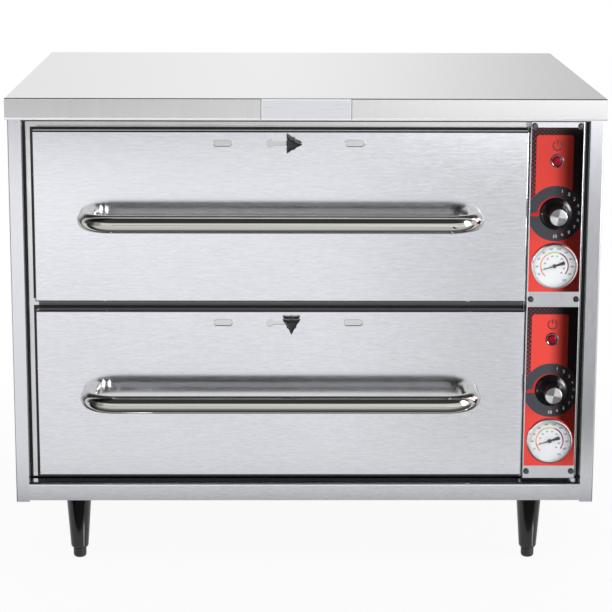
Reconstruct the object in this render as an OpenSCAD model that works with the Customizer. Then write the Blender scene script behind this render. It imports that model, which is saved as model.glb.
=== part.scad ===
// Freestanding countertop food-warming drawer: two insulated drawers on telescopic
// slides in a folded stainless cabinet on four adjustable legs, with its controls at
// the right. +X right, +Y to the back, +Z up; z = 0 is the counter under the feet.

/* [Cabinet] */
// Thickness of the cabinet's stainless sheet
sheet_t = 1.2; // [0.9:0.1:1.5]
// Outside radius of the sheet's bends
bend_r = 2.2; // [1.8:0.1:3]
// How far the top cover stands out past each side panel
cover_over = 2.6; // [2.0:0.1:4]
// How far the cover's band stands in front of the front plane
cover_front = 1.5; // [1.5:0.1:2.5]
// Height of the cover's turned-down band
band_h = 27.5; // [24:0.5:36]
// Width of the side panels' turned-in front flange
flange_w = 16.9; // [14:0.1:20]
// Depth of the return behind that flange
flange_return = 20; // [14:0.5:22]
// Width of the hidden flanges inside the cabinet
tab_w = 15; // [10:0.5:18]
// Height of the bottom front rail
rail_h = 23.1; // [18:0.1:28]
// Gap under the bottom front rail
rail_gap = 2.1; // [1.6:0.1:4]

/* [Drawer fronts] */
// Gap between the side flange and the drawer fronts
front_gap_left = 13.1; // [8:0.1:18]
// Gap between the bottom rail and the lower drawer front
front_gap_bottom = 9.5; // [6:0.1:12]
// Gap between the two drawer fronts
front_gap_mid = 11.5; // [8:0.1:16]
// Gap between the upper drawer front and the cover's band
front_gap_top = 13.3; // [9:0.1:18]
// Gap between the drawer fronts and the control panel
front_gap_right = 1.1; // [0.8:0.1:2]
// Thickness of a drawer front, outer shell to inner panel
front_t = 25; // [23:0.5:30]
// Space between a closed drawer front and the face frame
seal_gap = 1; // [0.6:0.1:2]
// Sheet of the drawer fronts and inner panels
front_sheet = 1.2; // [1:0.1:1.5]
// How far the front laps over the cavity mouth at each side
lap_side = 16.15; // [13:0.05:18]
// How far the front laps over the cavity mouth above and below
lap_height = 8.75; // [7:0.05:9.5]

/* [Handle] */
// Length of the handle over its bends
handle_len = 501; // [400:1:540]
// Outside diameter of the handle tube
handle_dia = 22.2; // [19:0.1:26]
// Wall of the handle tube
handle_wall = 1.6; // [1.2:0.1:2.5]
// Distance from the drawer face to the middle of the bar
handle_reach = 53.3; // [48:0.1:60]
// Bend radius of the tube's centre line
handle_bend = 35; // [28:0.5:44]

/* [Vent] */
// Distance from the drawer front's top edge to the vent's centre
vent_drop = 15; // [14:0.1:16]
// Length of each vent slot
vent_len = 24; // [20:0.2:25]
// Height of each vent slot
vent_h = 8.6; // [6:0.1:9]
// Left vent slot's centre, from the drawer's middle
vent_left = -72; // [-80:0.5:-64]
// Right vent slot's centre, from the drawer's middle
vent_right = 91; // [84:0.5:100]
// Half of the damper's travel, each side of the drawer's middle
vent_half_travel = 13.4; // [13:0.1:15]
// Diameter of the keyhole's round end
keyhole_dia = 10; // [8:0.1:11]
// Diameter of the damper's threaded stud
vent_stud_dia = 4.8; // [4:0.1:6]
// Diameter round the three lobes of the damper's knob
vent_knob_dia = 25; // [22:0.5:28]
// How far the damper's knob stands out of the drawer face
vent_knob_reach = 17; // [14:0.5:20]

/* [Cavities and slides] */
// Sheet of the cavity liners
liner_t = 0.8; // [0.6:0.1:1]
// Length of the telescopic slides
slide_len = 440; // [430:1:500]
// Space in each cavity behind the slides
slide_end_space = 48; // [40:1:60]
// Space between the cavities and the cabinet's back
rear_space = 51; // [45:1:70]
// Thickness of a closed slide
slide_w = 12.7; // [12.6:0.1:14]
// Height of a slide's outer member
slide_h = 45; // [42:0.5:48]
// Gauge of the slide members
slide_t = 1.2; // [1:0.05:1.3]
// Running gap between slide members
slide_gap = 0.3; // [0.25:0.05:0.4]
// Sheet of the drawer frames
frame_t = 1.5; // [1.2:0.1:2]

/* [Food pan] */
// Length of the pan's rim, side to side
pan_len = 530; // [490:1:600]
// Width of the pan's rim, front to back
pan_w = 325; // [300:1:340]
// Depth of the pan
pan_deep = 150; // [125:1:200]
// Space under the pan, for the heating element
pan_under = 30; // [26:0.5:40]
// Space over the pan's rim, up to the cavity's roof
pan_over = 17; // [13:0.5:30]
// Ledge of the drawer frame beside each end of the pan
pan_ledge = 12.3; // [8:0.1:20]
// Width of the pan's rim
pan_rim = 12; // [10:0.5:15]
// Wall of the pan
pan_t = 0.9; // [0.7:0.1:1.2]
// How far each side leans in from rim to floor
pan_taper = 12; // [8:1:18]
// Corner radius at the rim
pan_corner = 30; // [24:1:40]

/* [Control panel] */
// Width of the control panel
panel_w = 67.6; // [64:0.1:72]
// Gap between the control panel and the right side flange
panel_gap = 6.9; // [4:0.1:9]
// Width of the two control labels
label_w = 64; // [62:0.1:64]
// Thickness of the control labels
label_t = 0.5; // [0.4:0.1:0.8]
// Diameter of the thermostat knob's skirt
knob_dia = 39; // [34:0.5:44]
// How far the thermostat knob stands out of its label
knob_reach = 30; // [26:0.5:34]
// Diameter of the knob's silver cap
knob_cap_dia = 21.5; // [18:0.5:24]
// Diameter of the thermostat's spindle
spindle_dia = 6; // [5:0.5:8]
// Diameter of the thermometer's bezel
gauge_dia = 58.5; // [52:0.5:60]
// Diameter of the pilot lamp's bezel
lamp_dia = 16.6; // [14:0.1:20]
// Height of the thermostat's spindle in its label
knob_rise = 99.1; // [96:0.1:102]
// Height of the thermometer's centre in its label
gauge_rise = 33.2; // [31:0.1:36]
// Height of the pilot lamp in its label
lamp_rise = 165; // [160:0.5:170]

/* [Legs] */
// Height of the cabinet's underside above the counter
leg_h = 102; // [90:1:130]
// Diameter at the top of a leg
leg_top_dia = 32.7; // [28:0.1:38]
// Diameter at the bottom of a leg
leg_low_dia = 23; // [20:0.1:26]
// Diameter of the adjustable foot
foot_dia = 17; // [15:0.1:20]
// Height of the foot that shows under the leg
foot_h = 14; // [10:0.5:20]
// Diameter of the foot's threaded stem
foot_stem_dia = 8; // [6:0.5:10]
// Distance from each side panel to a leg's centre
leg_inset_x = 71.4; // [60:0.1:90]
// Distance from the front plane to a front leg's centre
leg_inset_y = 88; // [60:0.5:110]

/* [Back] */
// How far the cable gland stands out of the cover's back
gland_reach = 16.5; // [15.5:0.5:24]
// Diameter of the hole for the cable
cable_hole = 9; // [7:0.5:11]
// Number of cooling louvres
louvres = 7; // [4:1:8]

/* [Hidden] */
$fn = 64;

// A cut runs this far past the faces that it cuts
cut = 1;
// Clearance between pieces of the cabinet that are fitted beside each other
fit = 0.3;
// Radial clearance of a turning or sliding pin in its hole
run = 0.06;

// Front to back: the front plane is that of the drawer fronts and side flanges. The
// pans set the size of the cavities, and these set the size of the cabinet.
slide_front_gap = 4;
cavity_d = slide_front_gap - sheet_t - liner_t + slide_len + slide_end_space;
body_d = front_t + seal_gap + sheet_t + liner_t + cavity_d + rear_space + cover_front;
cover_d = body_d + cover_front;
total_d = handle_reach + handle_dia / 2 + body_d + gland_reach;
y0 = -total_d / 2 + handle_reach + handle_dia / 2;
y_frame = y0 + front_t + seal_gap;
y_back = y0 + body_d - cover_front;
y_liner = y_frame + sheet_t;
y_flange = y_back - sheet_t;

// Up: the cabinet's underside, its roof and the two drawer fronts
pan_seat = pan_under + pan_deep;
mouth_h = pan_seat + pan_over;
drawer_h = mouth_h + 2 * lap_height;
body_h = rail_gap + rail_h + front_gap_bottom + 2 * drawer_h + front_gap_mid + front_gap_top
    + band_h;
z0 = leg_h;
z_top = z0 + body_h;
z_roof = z_top - sheet_t;
z_rail = z0 + rail_gap;
z_lower = z_rail + rail_h + front_gap_bottom;
z_upper = z_lower + drawer_h + front_gap_mid;

// Across: drawer fronts at the left, control panel at the right
frame_w = pan_len + 2 * pan_ledge;
mouth_w = frame_w + 2 * slide_w;
drawer_w = mouth_w + 2 * lap_side;
body_w = 2 * flange_w + front_gap_left + drawer_w + front_gap_right + panel_w + panel_gap;
half_w = body_w / 2;
x_flange = half_w - flange_w;
x_panel = x_flange - panel_gap - panel_w / 2;
front_x0 = -x_flange + front_gap_left;
front_x1 = x_panel - panel_w / 2 - front_gap_right;
x_drawer = (front_x0 + front_x1) / 2;

// The slides and the frame that runs in them
frame_y = y0 + front_t;
frame_len = slide_len + seal_gap + slide_front_gap;
slide_y = y_frame + slide_front_gap;
slide_drop = slide_h / 2 + frame_t + 1;
pan_y = frame_y + 12;

// The control panel
label_y = y0 - label_t;
label_gap_mid = 19.5;
label_foot = 16.2;
label_head = 7;
panel_low = 31.8;
panel_z = z0 + panel_low;
panel_top_gap = 1;
panel_h = z_top - band_h - panel_top_gap - panel_z;
label_h = (panel_h - label_foot - label_gap_mid - label_head) / 2;
label_low_z = panel_z + label_foot;
label_up_z = label_low_z + label_h + label_gap_mid;
panel_screw_dia = 4;
panel_screw_head = 7.5;
panel_screw_x = panel_w / 2 - 5.3;
panel_screw_z = [panel_z + 9, label_up_z - label_gap_mid / 2 + 0.4, label_up_z + label_h + 1.9];

// Back and inner spaces
liner_back = y_liner + liner_t + cavity_d;
wall_pack = 12;
z_floor = z0 + 2 * sheet_t;

// ---------------------------------------------------------------- shapes

// Rectangle with two rounded corners on its y = 0 side, centred on x
module bent_rect(w, d, r) {
    translate([-w / 2, r]) square([w, d - r]);
    translate([-w / 2 + r, 0]) square([w - 2 * r, d]);
    for (side = [-1, 1])
        translate([side * (w / 2 - r), r]) circle(r);
}

// Rectangle with four rounded corners, centred
module round_rect(w, h, r) {
    square([w - 2 * r, h], center = true);
    square([w, h - 2 * r], center = true);
    for (sx = [-1, 1], sy = [-1, 1])
        translate([sx * (w / 2 - r), sy * (h / 2 - r)]) circle(r);
}

// Slot with round ends, centred, lying along x
module obround(len, h) {
    square([len - h, h], center = true);
    for (side = [-1, 1])
        translate([side * (len - h) / 2, 0]) circle(h / 2);
}

// Stands a flat outline up, facing the front: its x stays x, its y becomes z
module upright(t) {
    translate([0, t, 0]) rotate([90, 0, 0]) linear_extrude(t) children();
}

// Runs an outline drawn in y and z along x for a length, starting at x = 0
module along_x(len) {
    multmatrix([[0, 0, 1, 0], [1, 0, 0, 0], [0, 1, 0, 0], [0, 0, 0, 1]])
        linear_extrude(len) children();
}

// Runs an outline drawn in x and z back along y for a length, starting at y = 0
module along_y(len) {
    multmatrix([[1, 0, 0, 0], [0, 0, 1, 0], [0, 1, 0, 0], [0, 0, 0, 1]])
        linear_extrude(len) children();
}

// Solid block whose front face has four bent edges; x centred, y and z from 0
module bent_block(w, d, h, r) {
    intersection() {
        linear_extrude(h) bent_rect(w, d, r);
        translate([-w / 2, 0, h / 2]) along_x(w) rotate(-90) bent_rect(h, d, r);
    }
}

// Folded sheet tray, open at the back
module folded_tray(w, d, h, t, r) {
    difference() {
        bent_block(w, d, h, r);
        translate([0, t, t]) bent_block(w - 2 * t, d, h - 2 * t, r - t);
    }
}

// Cross-recessed pan-head screw driven towards +y, its head seated at y = 0
module pan_screw(head, shank, len) {
    rise = head * 0.34;
    difference() {
        rotate([90, 0, 0]) union() {
            cylinder(h = rise * 0.45, d = head);
            translate([0, 0, rise * 0.45]) cylinder(h = rise * 0.55, d1 = head, d2 = head * 0.62);
        }
        for (turn = [0, 90])
            rotate([0, turn, 0])
                translate([-head * 0.28, -rise - cut, -head * 0.06])
                    cube([head * 0.56, rise * 0.6 + cut, head * 0.12]);
    }
    rotate([-90, 0, 0]) cylinder(h = len, d = shank);
}

// Cylinder lying along +y from y = 0
module rod_y(len, r) {
    rotate([-90, 0, 0]) cylinder(h = len, r = r);
}

// Quarter turn of a round bar from +y to -x, starting at the origin
module quarter_turn(bend, r) {
    translate([-bend, 0, 0]) rotate_extrude(angle = 90) translate([bend, 0]) circle(r);
}

// ---------------------------------------------------------------- cabinet shell

module top_cover() {
    w = body_w + 2 * cover_over;
    front = y0 - cover_front;
    color([0.83, 0.83, 0.82])
        translate([0, front, z_top]) difference() {
            intersection() {
                translate([0, 0, -band_h]) along_y(cover_d)
                    translate([0, band_h]) rotate(180) bent_rect(w, band_h, bend_r);
                translate([-w / 2, cover_d / 2, 0]) along_x(w)
                    rotate(180) bent_rect(cover_d, band_h, bend_r);
            }
            translate([0, sheet_t, -sheet_t]) intersection() {
                translate([0, 0, -band_h]) along_y(cover_d - 2 * sheet_t)
                    translate([0, band_h]) rotate(180)
                        bent_rect(w - 2 * sheet_t, band_h, bend_r - sheet_t);
                translate([-w / 2, cover_d / 2 - sheet_t, 0]) along_x(w)
                    rotate(180) bent_rect(cover_d - 2 * sheet_t, band_h, bend_r - sheet_t);
            }
        }
}

// Plan of a side panel: front flange and its return, the wall, and the back flange
module side_plan() {
    difference() {
        union() {
            translate([half_w - flange_w, y0]) square([flange_w - bend_r, flange_return]);
            translate([half_w - flange_w, y0 + bend_r])
                square([flange_w, y_flange - y0 - bend_r]);
            translate([half_w - bend_r, y0 + bend_r]) circle(bend_r);
        }
        translate([half_w - flange_w + sheet_t, y0 + sheet_t])
            square([flange_w - 2 * sheet_t, y_flange - y0 - 2 * sheet_t]);
        translate([half_w - flange_w - cut, y0 + flange_return])
            square([sheet_t + 2 * cut, y_flange - y0 - flange_return - sheet_t]);
    }
}

module side_panel() {
    color([0.72, 0.72, 0.71]) difference() {
        union() {
            translate([0, 0, z0]) linear_extrude(z_roof - fit - z0) side_plan();
            for (z = [z0, z_roof - fit - sheet_t])
                translate([half_w - tab_w, y0 + flange_return + fit, z])
                    cube([tab_w - sheet_t / 2, y_flange - y0 - flange_return - 2 * sheet_t, sheet_t]);
        }
        for (y = leg_row_y, s = [-1, 1])
            translate([half_w - tab_w / 2, y + s * 20, z0 - cut])
                cylinder(h = sheet_t + 2 * cut, d = base_screw_dia);
        back_screw_places(-sheet_t) rod_y(sheet_t + 2 * cut, back_screw_dia / 2);
    }
}

module left_side_panel() {
    mirror([1, 0, 0]) side_panel();
}

module right_side_panel() {
    side_panel();
}

// Louvres in the panel behind the controls, pressed outwards
louvre_w = 62;
louvre_rise = 4.5;
louvre_pitch = 16;
back_screw_dia = 4;
gland_rise = 60;
gland_z = z0 + gland_rise;
gland_thread = 16;

louvre_drop = 186;

function louvre_z(i) = z_top - louvre_drop + i * louvre_pitch;

module back_panel() {
    w = body_w - 2 * fit;
    low = z0 + fit;
    high = z_roof - fit;
    color([0.66, 0.66, 0.66]) {
        difference() {
            translate([-w / 2, y_flange, low]) cube([w, sheet_t, high - low]);
            for (i = [0 : louvres - 1])
                translate([x_panel - louvre_w / 2, y_flange - cut, louvre_z(i)])
                    cube([louvre_w, sheet_t + 2 * cut, louvre_rise - sheet_t / 2]);
            translate([x_panel, y_flange - cut, gland_z])
                rod_y(sheet_t + 2 * cut, gland_thread / 2);
            back_screw_places(0) rod_y(sheet_t + 2 * cut, back_screw_dia / 2);
        }
        for (i = [0 : louvres - 1])
            translate([x_panel, y_back, louvre_z(i) - sheet_t / 2]) louvre_hood();
    }
}

// Half-round hood over one louvre opening, open downwards
module louvre_hood() {
    r = louvre_rise;
    difference() {
        translate([-louvre_w / 2, 0, r]) rotate([0, 90, 0]) cylinder(h = louvre_w, r = r);
        translate([-louvre_w / 2 + sheet_t, 0, r])
            rotate([0, 90, 0]) cylinder(h = louvre_w - 2 * sheet_t, r = r - sheet_t);
        translate([-louvre_w / 2 - cut, -r - cut, -cut])
            cube([louvre_w + 2 * cut, r + cut, 2 * r + 2 * cut]);
        translate([-louvre_w / 2 - cut, -cut, -cut]) cube([louvre_w + 2 * cut, r + 2 * cut, r + cut]);
    }
}

// Back screw places, moved by a depth in y, a cut before the sheet
back_screw_x = half_w - tab_w / 2 - 1;
back_screw_z = [z0 + 31, z0 + body_h / 2, z_top - 41];

module back_screw_places(deep) {
    for (side = [-1, 1], z = back_screw_z)
        translate([side * back_screw_x, y_flange + deep - cut, z]) children();
}

base_screw_dia = 4;
screw_tail = 2.5;
leg_row_y = [y0 + leg_inset_y, y0 + body_d - leg_inset_y];
leg_x = half_w - leg_inset_x;
plate_size = 60;
plate_t = 3;
plate_hole_pitch = 44;
plate_screw_dia = 5;

module leg_places() {
    for (x = [-leg_x, leg_x], y = leg_row_y)
        translate([x, y, z0 + sheet_t]) children();
}

module base_pan() {
    w = body_w - 2 * sheet_t - 2 * fit;
    front = y0 + flange_return + 2 * fit;
    len = y_flange - sheet_t - fit - front;
    lip = 12;
    color([0.6, 0.6, 0.61]) difference() {
        translate([-w / 2, front, z0 + sheet_t]) difference() {
            cube([w, len, lip]);
            translate([sheet_t, sheet_t, sheet_t]) cube([w - 2 * sheet_t, len - 2 * sheet_t, lip]);
        }
        leg_places() plate_screw_places() cylinder(h = 4 * sheet_t, d = plate_screw_dia, center = true);
        for (side = [-1, 1], y = leg_row_y, s = [-1, 1])
            translate([side * (half_w - tab_w / 2), y + s * 20, z0])
                cylinder(h = 4 * sheet_t, d = base_screw_dia);
    }
}

module plate_screw_places() {
    for (sx = [-1, 1], sy = [-1, 1])
        translate([sx, sy] * plate_hole_pitch / 2) children();
}

// Bottom rail: folded channel with a rolled top edge
module front_rail() {
    w = 2 * x_flange;
    roll = 4;
    deep = flange_return - fit;
    color([0.78, 0.78, 0.77])
        translate([-w / 2, y0, z_rail]) along_x(w) difference() {
            union() {
                square([deep, rail_h - roll]);
                translate([roll, 0]) square([deep - roll, rail_h]);
                translate([roll, rail_h - roll]) circle(roll);
            }
            translate([sheet_t, sheet_t]) square([deep, rail_h - roll - sheet_t]);
            translate([roll, sheet_t]) square([deep, rail_h - 2 * sheet_t]);
            translate([roll, rail_h - roll]) circle(roll - sheet_t);
        }
}

// Welded frame behind the fronts, with the two cavity mouths and the control opening
panel_return = front_t + seal_gap;
control_mouth_w = panel_w - 6;

module face_frame() {
    w = body_w - 4 * sheet_t - 3 * fit;
    low = z_floor + fit;
    high = z_roof - sheet_t - 2 * fit;
    color([0.8, 0.8, 0.79]) difference() {
        translate([-w / 2, y_frame, low]) cube([w, sheet_t, high - low]);
        for (z = [z_lower, z_upper])
            translate([x_drawer - mouth_w / 2, y_frame - cut, z + lap_height])
                cube([mouth_w, sheet_t + 2 * cut, mouth_h]);
        translate([x_panel, y_frame - cut, panel_z + panel_h / 2]) upright(sheet_t + 2 * cut)
            round_rect(panel_w - 22, panel_h - 30, 6);
        gauge_places() translate([0, y_frame - y0 - cut, 0]) rod_y(sheet_t + 2 * cut, gauge_can_r + 1);
        panel_screw_places() translate([0, -cut, 0]) rod_y(front_t * 2, panel_screw_dia / 2);
    }
}

module name_plate() {
    w = 112;
    h = 26;
    t = 1;
    rim = 1.6;
    color([0.9, 0.9, 0.88])
        translate([0, y0 - cover_front - t, z_top - band_h / 2]) difference() {
            upright(t) round_rect(w, h - 0.6, 1.5);
            translate([0, -cut, 0]) upright(t * 0.4 + cut) round_rect(w - 2 * rim, h - 2 * rim - 0.6, 0.8);
        }
}

// ---------------------------------------------------------------- control side

module panel_screw_places() {
    for (side = [-1, 1], z = panel_screw_z)
        translate([x_panel + side * panel_screw_x, y0, z]) children();
}

module knob_places() {
    for (z = [label_low_z, label_up_z])
        translate([x_panel, y0, z + knob_rise]) children();
}

module gauge_places() {
    for (z = [label_low_z, label_up_z])
        translate([x_panel, y0, z + gauge_rise]) children();
}

module lamp_places() {
    for (z = [label_low_z, label_up_z])
        translate([x_panel, y0, z + lamp_rise]) children();
}

gauge_can_r = gauge_dia / 2 - 4.5;
bush_r = spindle_dia / 2 + 2;
lamp_barrel_r = lamp_dia / 2 - 2.3;
lamp_deep = 20;
lamp_blade_x = 2.6;

// Holes through the panel and the labels for what stands in them
module control_holes(t) {
    translate([0, -cut, 0]) {
        knob_places() rod_y(t, bush_r);
        gauge_places() rod_y(t, gauge_can_r);
        lamp_places() rod_y(t, lamp_barrel_r);
    }
}

module control_panel() {
    color([0.8, 0.8, 0.8]) difference() {
        translate([x_panel, y0, panel_z]) linear_extrude(panel_h) difference() {
            bent_rect(panel_w, panel_return, bend_r);
            translate([0, sheet_t]) bent_rect(panel_w - 2 * sheet_t, panel_return, bend_r - sheet_t);
        }
        control_holes(sheet_t + 2 * cut);
        translate([0, -cut, 0]) panel_screw_places() rod_y(sheet_t + 2 * cut, panel_screw_dia / 2);
    }
}

module control_labels() {
    color([0.85, 0.1, 0.12]) difference() {
        for (z = [label_low_z, label_up_z])
            translate([x_panel, label_y, z + label_h / 2]) upright(label_t) round_rect(label_w, label_h, 1);
        translate([0, -label_t, 0]) control_holes(label_t + 2 * cut);
        translate([0, -label_t - cut, 0]) panel_screw_places()
            rod_y(label_t + 3 * cut, panel_screw_head / 2 + fit);
    }
}

module control_panel_screws() {
    color([0.2, 0.2, 0.2]) panel_screw_places()
        pan_screw(panel_screw_head, panel_screw_dia, panel_return + sheet_t);
}

// Capillary and bulb of a thermostat or thermometer. It leaves (x_panel, back, z), turns
// to the cavity, passes its wall and turns back into the bulb beside that wall.
tube_r = 1;
tube_bend = 6;
bulb_r = 3.2;
bulb_len = 70;
bulb_gap = 8;
x_wall = x_drawer + mouth_w / 2;
x_bulb = x_wall - bulb_gap;
tube_y = y_frame + 26;

module capillary(back) {
    translate([x_panel, 0, 0]) {
        translate([0, back, 0]) rod_y(tube_y - tube_bend - back, tube_r);
        translate([0, tube_y - tube_bend, 0]) quarter_turn(tube_bend, tube_r);
        translate([-tube_bend, tube_y, 0]) rotate([0, -90, 0])
            cylinder(h = x_panel - x_bulb - 2 * tube_bend, r = tube_r);
    }
    translate([x_bulb, tube_y + tube_bend, 0]) mirror([1, 0, 0]) mirror([0, 1, 0])
        quarter_turn(tube_bend, tube_r);
    translate([x_bulb, tube_y + tube_bend, 0]) rod_y(bulb_len, bulb_r);
}

module probe_holes(z) {
    translate([x_wall - cut, tube_y, z]) rotate([0, 90, 0])
        cylinder(h = wall_pack + liner_t + 2 * cut, r = tube_r + fit);
}

// Thermostat behind the panel: threaded bush, body with its cover, and its sensing bulb
bulb_drop = 12;
thermostat_w = 38;
thermostat_h = 34;
thermostat_d = 26;

module thermostats() {
    color([0.55, 0.55, 0.58]) knob_places() translate([0, 0, 0]) difference() {
        union() {
            translate([0, -label_t - 2, 0]) rod_y(sheet_t + label_t + 2, bush_r);
            translate([-thermostat_w / 2, sheet_t, -thermostat_h / 2])
                cube([thermostat_w, thermostat_d, thermostat_h]);
            translate([-x_panel, -y0, -bulb_drop]) capillary(y0 + sheet_t + thermostat_d);
        }
        translate([0, -label_t - 2 - cut, 0])
            rod_y(spindle_in + 3 + cut, spindle_dia / 2 + run);
    }
}

// Knob: flared skirt, tapered grip with a pointer, and a spun cap
knob_face = y0 - label_t - 0.5;
hub_deep = 4;

module thermostat_knob(z) {
    reach = knob_reach - 0.5;
    skirt_h = 3.5;
    grip_r = knob_dia * 0.36;
    hub_r = bush_r + 0.8;
    translate([x_panel, knob_face, z + knob_rise]) {
        color([0.12, 0.12, 0.13]) difference() {
            rotate([90, 0, 0]) rotate_extrude() polygon([
                [0, 0], [knob_dia / 2, 0], [knob_dia / 2, skirt_h * 0.5],
                [knob_dia / 2 - 2.5, skirt_h], [grip_r + 1, skirt_h + 1.2],
                [knob_cap_dia / 2 + 1.2, reach - 2.4], [knob_cap_dia / 2, reach - 1],
                [knob_cap_dia / 2, reach], [0, reach]]);
            translate([0, -hub_deep, 0]) rod_y(hub_deep + cut, hub_r);
            translate([0, -spindle_out, 0]) spindle_bar(reach);
            rotate([90, 0, 0]) translate([0, 0, reach - 0.6])
                difference() {
                    cylinder(h = 1, r = knob_cap_dia / 2 - 1.6);
                    translate([0, 0, -cut]) cylinder(h = 3, r = knob_cap_dia / 2 - 2.4);
                }
        }
        color([0.9, 0.9, 0.9]) rotate([90, 0, 0]) translate([-knob_dia / 2 + 1, 0, 0])
            linear_extrude(skirt_h + 2) polygon([[-0.6, -0.7], [6.5, -2.6], [6.5, 2.6], [-0.6, 0.7]]);
    }
}

// Spindle: flatted where it drives the knob, round where it turns in the bush
spindle_out = knob_reach * 0.72;
spindle_in = 12;

module spindle_bar(len) {
    difference() {
        rod_y(len, spindle_dia / 2);
        translate([-spindle_dia / 2, -cut, spindle_dia * 0.3])
            cube([spindle_dia, spindle_out - hub_deep + cut, spindle_dia]);
    }
}

module thermostat_spindle(z) {
    color("silver") translate([x_panel, knob_face - spindle_out, z + knob_rise])
        spindle_bar(spindle_out + spindle_in);
}

module upper_thermostat_spindle() {
    thermostat_spindle(label_up_z);
}

module lower_thermostat_spindle() {
    thermostat_spindle(label_low_z);
}

module upper_thermostat_knob() {
    thermostat_knob(label_up_z);
}

module lower_thermostat_knob() {
    thermostat_knob(label_low_z);
}

// Thermometer: can through the panel, bezel in front, and its sensing bulb
bezel_reach = 5.9;
bezel_lip = 2.2;
can_deep = 20;
can_t = 0.8;
can_floor = 0.6;
dial_t = 0.6;
dial_y = label_y - can_floor - dial_t;
glass_t = 1.2;
glass_y = dial_y - 2 - glass_t;
dial_hub_r = 1.6;
gauge_bulb_drop = 8;

module thermometer_cases() {
    color([0.88, 0.88, 0.9]) gauge_places() difference() {
        union() {
            rotate([90, 0, 0]) rotate_extrude() polygon([
                [0, label_t], [gauge_dia / 2 - 0.8, label_t], [gauge_dia / 2, label_t + 0.8],
                [gauge_dia / 2, bezel_reach - 2.2], [gauge_dia / 2 - 0.7, bezel_reach - 0.6],
                [gauge_dia / 2 - 2.2, bezel_reach], [0, bezel_reach]]);
            translate([0, -label_t - can_floor, 0])
                rod_y(can_deep + label_t + can_floor, gauge_can_r - fit / 2);
            translate([-x_panel, -y0, -gauge_bulb_drop]) capillary(y0 + can_deep);
        }
        translate([0, -bezel_reach - cut, 0]) rod_y(bezel_reach + cut + can_deep - can_t, gauge_can_r - can_t - 1);
        translate([0, glass_y - y0, 0]) rod_y(glass_t + 2 + dial_t, gauge_dia / 2 - bezel_lip);
        translate([0, -bezel_reach - cut, 0]) rotate([-90, 0, 0])
            cylinder(h = bezel_reach + cut + glass_y - y0 + 0.01, r = gauge_dia / 2 - bezel_lip - 1.2);
    }
}

module thermometer_dials() {
    color([0.95, 0.95, 0.93]) gauge_places() translate([0, dial_y - y0, 0]) difference() {
        rod_y(dial_t, gauge_dia / 2 - bezel_lip - 0.1);
        translate([0, -cut, 0]) rod_y(dial_t + 2 * cut, dial_hub_r + run);
    }
}

module thermometer_glasses() {
    color([0.85, 0.95, 1, 0.3]) gauge_places() translate([0, glass_y - y0, 0])
        rod_y(glass_t, gauge_dia / 2 - bezel_lip - 0.1);
}

// Needle on its arbor; it points to lower left when cold
needle_rest = 252;
needle_len = 18.7;
needle_tail = 13.2;

module thermometer_needle(z) {
    color([0.1, 0.1, 0.1]) translate([x_panel, dial_y - 0.9, z + gauge_rise]) {
        rotate([90, 0, 0]) linear_extrude(0.4) rotate(90 - needle_rest) polygon([
            [needle_len, 0], [0, 0.9], [-needle_tail * 0.45, 1.4], [-needle_tail, 2.4],
            [-needle_tail, -2.4], [-needle_tail * 0.45, -1.4], [0, -0.9]]);
        rotate([90, 0, 0]) cylinder(h = 0.8, r = 2.6);
        rod_y(0.9 + can_deep / 2, dial_hub_r);
    }
}

module upper_thermometer_needle() {
    thermometer_needle(label_up_z);
}

module lower_thermometer_needle() {
    thermometer_needle(label_low_z);
}

// Pilot lamps: bezel and barrel in front, terminals behind
module pilot_lamp_bodies() {
    blade = 0.8;
    color([0.8, 0.8, 0.82]) lamp_places() {
        difference() {
            union() {
                rotate([90, 0, 0]) rotate_extrude() polygon([
                    [0, label_t], [lamp_dia / 2, label_t], [lamp_dia / 2, label_t + 1],
                    [lamp_dia / 2 - 1, label_t + 2.2], [0, label_t + 2.2]]);
                translate([0, -label_t, 0]) rod_y(label_t + lamp_deep, lamp_barrel_r - fit / 2);
            }
            translate([0, -label_t - 4, 0]) rod_y(10, lamp_dia / 2 - 2.6 - 0.9);
        }
        for (side = [-1, 1])
            translate([side * lamp_blade_x - 2, lamp_deep, -blade / 2]) cube([3.2, 8, blade]);
    }
}

module pilot_lamp_lenses() {
    r = lamp_dia / 2 - 2.6 - 0.9 - 0.05;
    color([0.8, 0.05, 0.05]) lamp_places() translate([0, -label_t, 0]) {
        rotate([90, 0, 0]) rotate_extrude() polygon([
            [0, -5], [r, -5], [r, 2.4], [r - 0.7, 4], [r * 0.55, 5.2], [0, 5.6]]);
    }
}

// Terminal block on the floor of the control compartment
terminal_back = 260;
terminal_pitch = 12;
terminal_ways = 5;

module terminal_block() {
    base = [24, terminal_ways * terminal_pitch, 16];
    color([0.9, 0.9, 0.85]) translate([x_panel - base[0] / 2, y_back - terminal_back, z_floor])
        difference() {
            cube(base);
            for (i = [0 : terminal_ways - 1]) {
                translate([base[0] / 2, (i + 0.5) * terminal_pitch, base[2] - 5])
                    cylinder(h = 6, d = 6);
                translate([-cut, (i + 0.5) * terminal_pitch - 2, 5])
                    cube([base[0] + 2 * cut, 4, 5]);
            }
        }
}

// ---------------------------------------------------------------- cavities

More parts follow.
